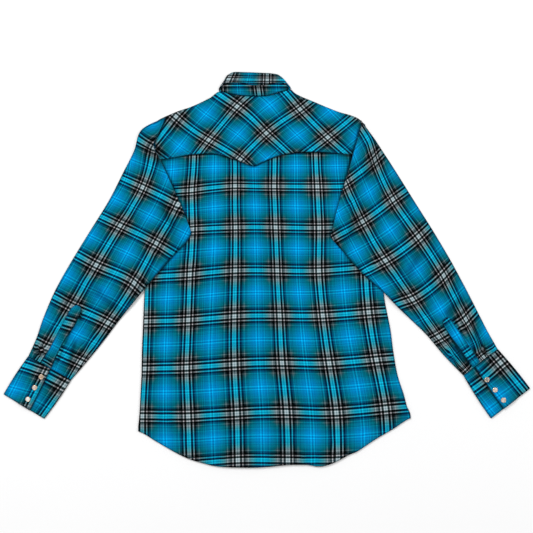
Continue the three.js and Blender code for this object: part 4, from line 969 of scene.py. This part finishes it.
PLACKET_ROLL = 0.7
PLACKET_ROWS = 60
PLACKET_COLUMNS = 22
STITCHED_LINE = 4

for side in ("left", "right"):
    rows = np.array(PLACKETS[side], float)
    places = rim_steps(PLACKET_ROWS, PLACKET_LENGTH, PLACKET_ROLL) * (len(rows) - 1)
    section, start, stop = (through(np.arange(len(rows)), rows[:, i], places)[:, None] for i in range(3))
    across = start + (stop - start) * rim_steps(PLACKET_COLUMNS, PLACKET_WIDTH, PLACKET_ROLL)[None, :]
    along = np.broadcast_to(section / (len(SLEEVES[side]) - 1), across.shape)
    strip = sleeve_upper(side, along, across)
    strip[..., 2] += PLACKET_LIFT
    if side == "left":
        strip = strip[::-1]
    placket = cloth_piece(f"placket_strip_{side}", strip,
                          lay_check(PLACKET_CROSSINGS[side], strip[..., 0], strip[..., 1]), CLOTH)
    placket.data.materials.append(flannel)
    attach(placket, "root")
    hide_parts(f"sleeve_placket_{side}")
    strip = strip[::-1] if side == "left" else strip
    border = np.concatenate([strip[::-1, STITCHED_LINE], strip[STITCHED_LINE, STITCHED_LINE:-STITCHED_LINE],
                             strip[:, -1 - STITCHED_LINE]])
    border[:, 2] += CLOTH / 2
    sewn_rows(f"placket_stitching_{side}", [border])


# The cuffs: a doubled band each, folded flat round the wrist, one end lapped over the other on the
# side that shows and closed with three snaps. Edge-stitched all round.
CUFF_CLOTH = 1.7
CUFF_LOW = 0.85
CUFF_MIDDLE = 2.85
CUFF_TOP = 4.85
CUFF_SEAM_GAP = 0.4
CUFF_BULGE = 0.03
CUFF_DEPTH = 97
CUFF_ROWS = 34
# The rest are shares of the cuff's laid width: the end that lies under, the rise of the end that laps
# over it, the folds at the sides, and how far the painted shadow beside the lap's edge and the painted
# shade along the folds reach.
CUFF_UNDERLAP = 0.24
CUFF_RISE = (0.14, 0.02)
CUFF_FOLD = 0.011
CUFF_FOLD_TURN = 0.004
CUFF_FOLD_ROUND = 0.45
LAP_PAINTED_SHADOW_WIDTH = 0.05
CUFF_FOLD_PAINTED_SHADE_WIDTH = 0.03
CUFF_STITCH_INSET = 0.025
CUFF_STITCH_SPAN = (0.03, 0.965)
CUFF_COLUMNS = {
    # columns of points, laid width
    "over": (34, 60),
    "under": (30, 70),
}
LOW_COLUMNS = 26
CUFFS = {
    "left": {"outer": (-566.5, -267.5), "inner": (-480, -319.5), "lap_at_seam": 0.52, "lap_at_end": 0.65},
    "right": {"outer": (567, -255), "inner": (483.5, -319), "lap_at_seam": 0.68, "lap_at_end": 0.68},
}
CUFF_CROSSINGS = {
    # warp stripe, weft stripe, x, y, for the lapped end on top and for the end under it
    "left": {
        "lap": [(0, 0, -472, -221), (-0.5, 0.5, -544, -253), (0, 0.5, -496, -265), (-0.5, 0, -520, -205)],
        "under": [(1, 0, -434, -248), (1, 0.5, -469, -297), (0.5, 0, -476, -226), (0.5, 0.5, -510, -274)],
    },
    "right": {
        "lap": [(0, 0, 503, -199), (0, 0.5, 539, -243), (-0.5, 0, 467, -230), (-0.5, 0.5, 500, -269)],
        "under": [(0.5, 0, 445, -255), (0.5, 0.5, 479, -298), (0, 0, 481, -229), (0, 0.5, 516, -271)],
    },
}


def cuff_place(side, flat_across, along):
    """A place on the laid-out cuff, which lies a little full half-way to its open end."""
    across = 0.5 + (flat_across - 0.5) * (1 + CUFF_BULGE * np.sin(np.pi * along))
    cuff = CUFFS[side]
    seam = SLEEVES[side][-1]
    x0 = seam[0] + (seam[2] - seam[0]) * across
    y0 = seam[1] + (seam[3] - seam[1]) * across
    x1 = cuff["outer"][0] + (cuff["inner"][0] - cuff["outer"][0]) * across
    y1 = cuff["outer"][1] + (cuff["inner"][1] - cuff["outer"][1]) * across
    gap = CUFF_SEAM_GAP / np.hypot(x1 - x0, y1 - y0)
    place = gap + (1 - gap) * along
    return x0 + (x1 - x0) * place, y0 + (y1 - y0) * place


def lap_place(side, along):
    """Where across the cuff the end on top stops."""
    cuff = CUFFS[side]
    return cuff["lap_at_seam"] + (cuff["lap_at_end"] - cuff["lap_at_seam"]) * along


def cuff_lap_height(across, lap):
    """The height of the end on top, which steps up over the end under it."""
    over = ease(lap - CUFF_UNDERLAP - CUFF_RISE[0], lap - CUFF_UNDERLAP - CUFF_RISE[1], across)
    return CUFF_MIDDLE + (CUFF_TOP - CUFF_MIDDLE) * over


for side in ("left", "right"):
    steps = rim_steps(CUFF_ROWS, CUFF_DEPTH, CUFF_CLOTH / 2)
    over_steps = rim_steps(*CUFF_COLUMNS["over"], CUFF_CLOTH / 2)[:-3]
    under_steps = rim_steps(*CUFF_COLUMNS["under"], CUFF_CLOTH / 2)[3:]
    low_across = np.linspace(CUFF_FOLD, 1 - CUFF_FOLD, LOW_COLUMNS)
    outer_turn = [
        (CUFF_FOLD_TURN, CUFF_MIDDLE - CUFF_FOLD_ROUND),
        (0.0, (CUFF_LOW + CUFF_MIDDLE) / 2),
        (CUFF_FOLD_TURN, CUFF_LOW + CUFF_FOLD_ROUND),
    ]
    inner_turn = [(1 - across, height) for across, height in outer_turn[::-1]]
    rows = []
    for along in steps:
        lap = lap_place(side, along)
        top_across = lap + (CUFF_FOLD - lap) * over_steps
        top_height = cuff_lap_height(top_across, lap)
        under_across = (1 - CUFF_FOLD) + (lap - CUFF_UNDERLAP - 1 + CUFF_FOLD) * under_steps
        rows.append(
            list(zip(top_across, top_height)) + outer_turn + [(a, CUFF_LOW) for a in low_across]
            + inner_turn + [(a, CUFF_MIDDLE) for a in under_across]
        )
    path = np.array(rows)
    x, y = cuff_place(side, path[..., 0], steps[:, None])
    band = np.stack([x, y, path[..., 1]], axis=-1)
    lapped = np.arange(band.shape[1]) < len(top_across) + 2
    # Painted shadow on the end beneath, beside the lap's edge, and painted shade along the folded sides.
    from_lap = np.abs(path[..., 0] - lap_place(side, steps[:, None]))
    painted_lap_shadow = np.where(lapped[None, :], 0.0, 1 - ease(0.0, LAP_PAINTED_SHADOW_WIDTH, from_lap))
    painted_fold_shade = 1 - ease(0, CUFF_FOLD_PAINTED_SHADE_WIDTH, np.minimum(path[..., 0], 1 - path[..., 0]))
    check = np.where(lapped[None, :, None], lay_check(CUFF_CROSSINGS[side]["lap"], x, y),
                     lay_check(CUFF_CROSSINGS[side]["under"], x, y))
    painted_shade = np.maximum(painted_lap_shadow, RIM_PAINTED_SHADE * painted_fold_shade)
    if side == "right":
        band, check, painted_shade = band[::-1], check[::-1], painted_shade[::-1]
    cuff_band = cloth_piece(f"cuff_band_{side}", band, check, CUFF_CLOTH, painted_shade=painted_shade)
    cuff_band.data.materials.append(flannel)
    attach(cuff_band, "root")
    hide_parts(f"cuff_{side}")

    def on_cuff(across, along, lap):
        """A path on top of this cuff."""
        x, y = cuff_place(side, across, along)
        return np.stack([x, y, cuff_lap_height(across, lap) + CUFF_CLOTH / 2], axis=-1)

    walk = np.linspace(*CUFF_STITCH_SPAN, 80)
    cuff_paths = [on_cuff(lap_place(side, walk) - CUFF_STITCH_INSET, walk, lap_place(side, walk))]
    for along in (walk[-1], walk[0]):
        lap = lap_place(side, along)
        across = np.linspace(0.02, lap - CUFF_STITCH_INSET, 120)
        cuff_paths.append(on_cuff(across, np.full(120, along), lap))
    sewn_rows(f"cuff_stitching_{side}", cuff_paths)


# The collar: a stand sewn into the neck and a leaf folded down over it, both doubled. At the back
# they show as two bands. Their front ends lie flat and hidden, under the fronts.
STAND = [
    # top x, top y, low x, low y, z, a row for each place round the neck
    (-8, 331, -9, 302.5, 2.25), (-26, 329, -26, 298.5, 2.25), (-46, 335, -45, 302.5, 2.25),
    (-67, 356, -69, 317, 2.25), (-78, 388, -90, 346, 2.25), (-83, 402, -97.5, 372, 2.25),
    (-83.8, 408, -99, 385, 2.25), (-84, 411, -99.8, 388.8, 3.975), (-79, 415, -96, 387.5, 5.2),
    (-68, 418, -80, 382.5, 5.7), (-48, 419, -55, 378.5, 5.7), (-26, 418, -26, 376.5, 5.7),
    (0, 417, 3, 378.5, 5.7), (20, 414, 27, 385.5, 5.7), (31, 408, 43, 389.5, 5.2),
    (34, 404, 46.8, 392.5, 3.975), (33.8, 401, 46.2, 388, 2.25), (33, 394, 45.5, 374, 2.25),
    (27, 380, 38, 348, 2.25), (14, 353, 17, 318, 3.85), (-6, 336, -7, 303.5, 3.85),
    (-26, 330, -26, 299.5, 3.85), (-40, 333, -40, 302, 3.85),
]
LEAF = [
    # top x, top y, low x, low y, z
    (-31, 334, -64, 264, 0.65), (-50, 345, -82, 296, 0.65), (-68, 366, -94, 330, 0.65),
    (-79, 396, -100, 362, 0.65), (-84, 411, -102, 380, 0.65), (-86, 414, -102.6, 385.5, 0.65),
    (-86.5, 416.5, -102.8, 390.5, 3.975), (-83, 420, -99, 394, 6.3), (-75, 424.5, -88, 401, 7.3),
    (-66, 426, -71, 403, 7.3), (-50, 425.5, -51, 401.5, 7.3), (-32, 425, -33, 397, 7.3),
    (-10, 424, -9, 397, 7.3), (8, 423, 9, 400.5, 7.3), (23, 420.5, 26, 403, 7.3), (33, 414, 40, 401, 6.7),
    (39, 408, 48, 395, 5.7), (40.5, 405, 51.2, 393, 3.975), (40, 402, 51, 387.5, 0.65),
    (38, 400, 50.5, 381, 0.65), (30, 386, 48, 362, 0.65), (17, 363, 42, 330, 0.65), (0, 345, 30, 296, 0.65),
    (-21, 334, 12, 264, 0.65),
]
STAND_CROSSINGS = [
    # warp stripe, weft stripe, x, y
    (0, 0, -20, 406), (0.5, 0, 22, 406), (-0.5, 0, -61, 406), (0, 0.5, -14, 360), (-0.5, 0.5, -58, 360),
    (0.5, 0.5, 26, 360),
]
LEAF_CROSSINGS = [
    # warp stripe, weft stripe, x, y
    (0, 0, 1, 409), (-1, 0, -82, 410), (0, 0.5, 2, 437), (-1, 0.5, -70, 437), (0, -0.5, 0, 381),
    (-1, -0.5, -93, 381),
]

COLLAR_LENGTH = 400
COLLAR_COLUMNS = 132
COLLAR_ROWS = 16
# Both bands stand higher than this where they pass round the back of the neck.
BACK_OF_NECK = (4.5, 5.6)
# At the back the stand's lower edge laps the yoke by a seam's width and rises over the seam.
SEAM_LAP = 2.4
SEAM_RISE = 0.45
SEAM_RISE_AT = (0.86, 0.97)
COLLAR_PIECES = [
    # piece, node, slot, table, crossings, width, lap, rise, stitches at, their rise, flat size, flat area
    ("collar_stand_band", "collar_stand", "flannel_doubled", STAND, STAND_CROSSINGS, 36,
     SEAM_LAP, SEAM_RISE, 0.93, 0.3, (0.42, 0.04), 0.0125),
    ("collar_leaf_band", "collar_leaf", "flannel", LEAF, LEAF_CROSSINGS, 40,
     0.0, 0.0, 0.8, 0.0, (0.48, 0.08), 0.0155),
]
for name, node, slot, table, crossings, width, lap, rise, sew_at, sew_rise, flat, area in COLLAR_PIECES:
    rows = np.array(table, float)
    places = rim_steps(COLLAR_COLUMNS, COLLAR_LENGTH, EDGE_ROLL) * (len(rows) - 1)
    top_x, top_y, low_x, low_y, height = (
        np.interp(places, np.arange(len(rows)), rows[:, 4]) if i == 4
        else through(np.arange(len(rows)), rows[:, i], places) for i in range(5)
    )
    down = 1 - rim_steps(COLLAR_ROWS, width, EDGE_ROLL)[:, None]
    at_back = ease(*BACK_OF_NECK, height)
    low_y = low_y - lap * at_back
    x = top_x + (low_x - top_x) * down
    y = top_y + (low_y - top_y) * down
    z = height + rise * at_back * ease(*SEAM_RISE_AT, down)
    strip = cloth_piece(name, np.stack([x, y, z], axis=-1), lay_check(crossings, x, y), CLOTH)
    strip.data.materials.append(flannel)
    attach(strip, "root")
    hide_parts(node)
    seen = at_back > 0.9
    sew_x = (top_x + (low_x - top_x) * sew_at)[seen]
    sew_y = (top_y + (low_y - top_y) * sew_at)[seen]
    sew_z = (height + CLOTH / 2 + sew_rise)[seen]
    sewn_rows(f"{node}_stitching", [np.stack([sew_x, sew_y, sew_z], axis=-1)])


# The snaps: a domed pearl cap held by a prong ring of pale brass, pressed through the cloth. Three
# close each cuff. The row down the fronts and the one on the stand lie hidden, caps to the table.
CUFF_SNAP_BASE = 6.0
CUFF_SNAPS = {
    # x, y, the tint painted for the light that this pearl catches
    "left": [(-484.5, -229, "tan"), (-498.5, -252, "pink"), (-513, -277, "white")],
    "right": [(473, -235, "dull"), (490.5, -257, "pink"), (508.5, -279, "pink")],
}
# Tints of one pearl, painted to stand for the light that each cap catches: bright, rosy, tan and dull.
PEARL_PAINTED_REFLECTIONS = {
    # dark swirl, middle, light swirl
    "white": ((0.72, 0.60, 0.52, 1), (0.88, 0.82, 0.76, 1), (0.80, 0.84, 0.86, 1)),
    "pink": ((0.46, 0.26, 0.17, 1), (0.66, 0.50, 0.42, 1), (0.72, 0.74, 0.76, 1)),
    "tan": ((0.22, 0.12, 0.06, 1), (0.42, 0.27, 0.17, 1), (0.62, 0.54, 0.46, 1)),
    "dull": ((0.10, 0.09, 0.07, 1), (0.24, 0.21, 0.18, 1), (0.36, 0.36, 0.35, 1)),
}


def pearl(painted_reflection):
    """A pearl cap: milky resin with faint swirls under a clear coat, in a tint painted for the light it
    catches.
    """
    finish, tree = new_finish(f"pearl_cap_{painted_reflection}")
    dark, mid, light = PEARL_PAINTED_REFLECTIONS[painted_reflection]
    place = put(tree, "ShaderNodeTexCoord").outputs["Object"]
    swirl = put(tree, "ShaderNodeTexNoise", {"Vector": place, "Scale": 260.0, "Detail": 3.0,
                                             "Distortion": 1.4}).outputs["Fac"]
    tone = put(tree, "ShaderNodeValToRGB", {"Fac": swirl})
    for stop, (spot, colour) in zip(
        (tone.color_ramp.elements[0], tone.color_ramp.elements[1], tone.color_ramp.elements.new(0.5)),
        ((0.3, dark), (0.7, light), (0.5, mid)),
    ):
        stop.position = spot
        stop.color = colour
    cap = put(tree, "ShaderNodeBsdfPrincipled", {
        "Base Color": tone.outputs["Color"], "Roughness": 0.22, "Coat Weight": 0.6, "Coat Roughness": 0.08,
        "Subsurface Weight": 0.1,
    })
    put(tree, "ShaderNodeOutputMaterial", {"Surface": cap.outputs[0]})
    return finish


def pale_brass():
    """A prong ring of pale brass, dulled here and there."""
    finish, tree = new_finish("pale_brass")
    place = put(tree, "ShaderNodeTexCoord").outputs["Object"]
    wear = put(tree, "ShaderNodeTexNoise", {"Vector": place, "Scale": 700.0, "Detail": 2.0}).outputs["Fac"]
    dull = put(tree, "ShaderNodeMapRange", {"Value": wear, 3: 0.2, 4: 0.4})
    ring = put(tree, "ShaderNodeBsdfPrincipled", {
        "Base Color": (0.78, 0.62, 0.47, 1), "Metallic": 1.0, "Roughness": dull.outputs[0],
    })
    put(tree, "ShaderNodeOutputMaterial", {"Surface": ring.outputs[0]})
    return finish


pearl_caps = {painted_reflection: pearl(painted_reflection) for painted_reflection in PEARL_PAINTED_REFLECTIONS}
brass_ring = pale_brass()
PEARL_RADIUS = 4.2
SNAP_SIDES = 40


def turned_snap(name, profile, x, y, z, painted_reflection):
    """A snap turned about a standing axis: pearl inside its ring's inner edge, brass outside it."""
    points = []
    faces = []
    for radius, height in profile:
        for i in range(SNAP_SIDES):
            angle = math.tau * i / SNAP_SIDES
            points.append((x + radius * math.cos(angle), y + radius * math.sin(angle), z + height))
    count = len(profile)
    for row in range(count - 1):
        low = row * SNAP_SIDES
        high = low + SNAP_SIDES
        for i in range(SNAP_SIDES):
            j = (i + 1) % SNAP_SIDES
            faces.append((low + i, low + j, high + j, high + i))
    faces.append(tuple(range(SNAP_SIDES))[::-1])
    faces.append(tuple((count - 1) * SNAP_SIDES + i for i in range(SNAP_SIDES)))
    mesh = bpy.data.meshes.new(name)
    mesh.from_pydata((np.array(points) * MM).tolist(), [], faces)
    mesh.materials.append(pearl_caps[painted_reflection])
    mesh.materials.append(brass_ring)
    for face in mesh.polygons:
        middle = face.center
        far = math.hypot(middle.x / MM - x, middle.y / MM - y)
        face.material_index = 0 if far < PEARL_RADIUS else 1
    mesh.shade_smooth()
    piece = bpy.data.objects.new(name, mesh)
    bpy.context.scene.collection.objects.link(piece)
    return piece


CUFF_SNAP_PROFILE = [
    # radius, height
    (4.8, 0.0), (5.3, 0.12), (5.5, 0.5), (5.5, 1.2), (5.38, 1.62), (5.1, 1.86), (4.75, 1.9), (4.45, 1.78),
    (4.3, 1.62), (4.2, 1.72), (3.9, 1.95), (3.3, 2.16), (2.4, 2.32), (1.3, 2.4), (0.2, 2.42),
]
for side in ("left", "right"):
    for i, (x, y, painted_reflection) in enumerate(CUFF_SNAPS[side]):
        snap = turned_snap(f"snap_cuff_{side}_{i + 1}", CUFF_SNAP_PROFILE, x, y, CUFF_SNAP_BASE, painted_reflection)
        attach(snap, "root")
        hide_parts(f"cuff_snap_{side}_{i + 1}")

# A hidden snap: its cap is let into the cloth of the band that laps over, and its post goes through
# the band beneath to the ring on the inside.
HIDDEN_SNAP_PROFILE = [
    # radius, height
    (0.2, 0.0), (1.6, 0.02), (2.9, 0.08), (3.7, 0.2), (4.15, 0.34), (4.3, 0.5), (4.45, 0.34), (4.75, 0.2),
    (5.1, 0.22), (5.38, 0.4), (5.5, 0.7), (5.5, 1.1), (5.35, 1.28), (4.2, 1.3), (2.8, 1.3), (2.6, 1.5),
]
POST_RADIUS = 2.6
POST_ROUND = 0.25
POST_MIDDLE = 0.2
FRONT_SNAPS = 7
SNAP_FIRST_Y = 190
SNAP_PITCH = 88
COLLAR_SNAP_X = -26
COLLAR_SNAP_Y = 315
hidden_snaps = []
for i in range(FRONT_SNAPS):
    y = SNAP_FIRST_Y - i * SNAP_PITCH
    hidden_snaps.append((f"front_snap_{i + 1}", centre_front(y), y, CLOTH + LAYER))
hidden_snaps.append(("collar_snap", COLLAR_SNAP_X, COLLAR_SNAP_Y, CLOTH + 2 * LAYER))
for node, x, y, top in hidden_snaps:
    profile = HIDDEN_SNAP_PROFILE + [
        (POST_RADIUS, top - POST_ROUND), (POST_RADIUS - POST_ROUND, top), (POST_MIDDLE, top),
    ]
    snap = turned_snap(f"{node}_turned", profile, x, y, 0.0, "white")
    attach(snap, "root")
    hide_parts(node)
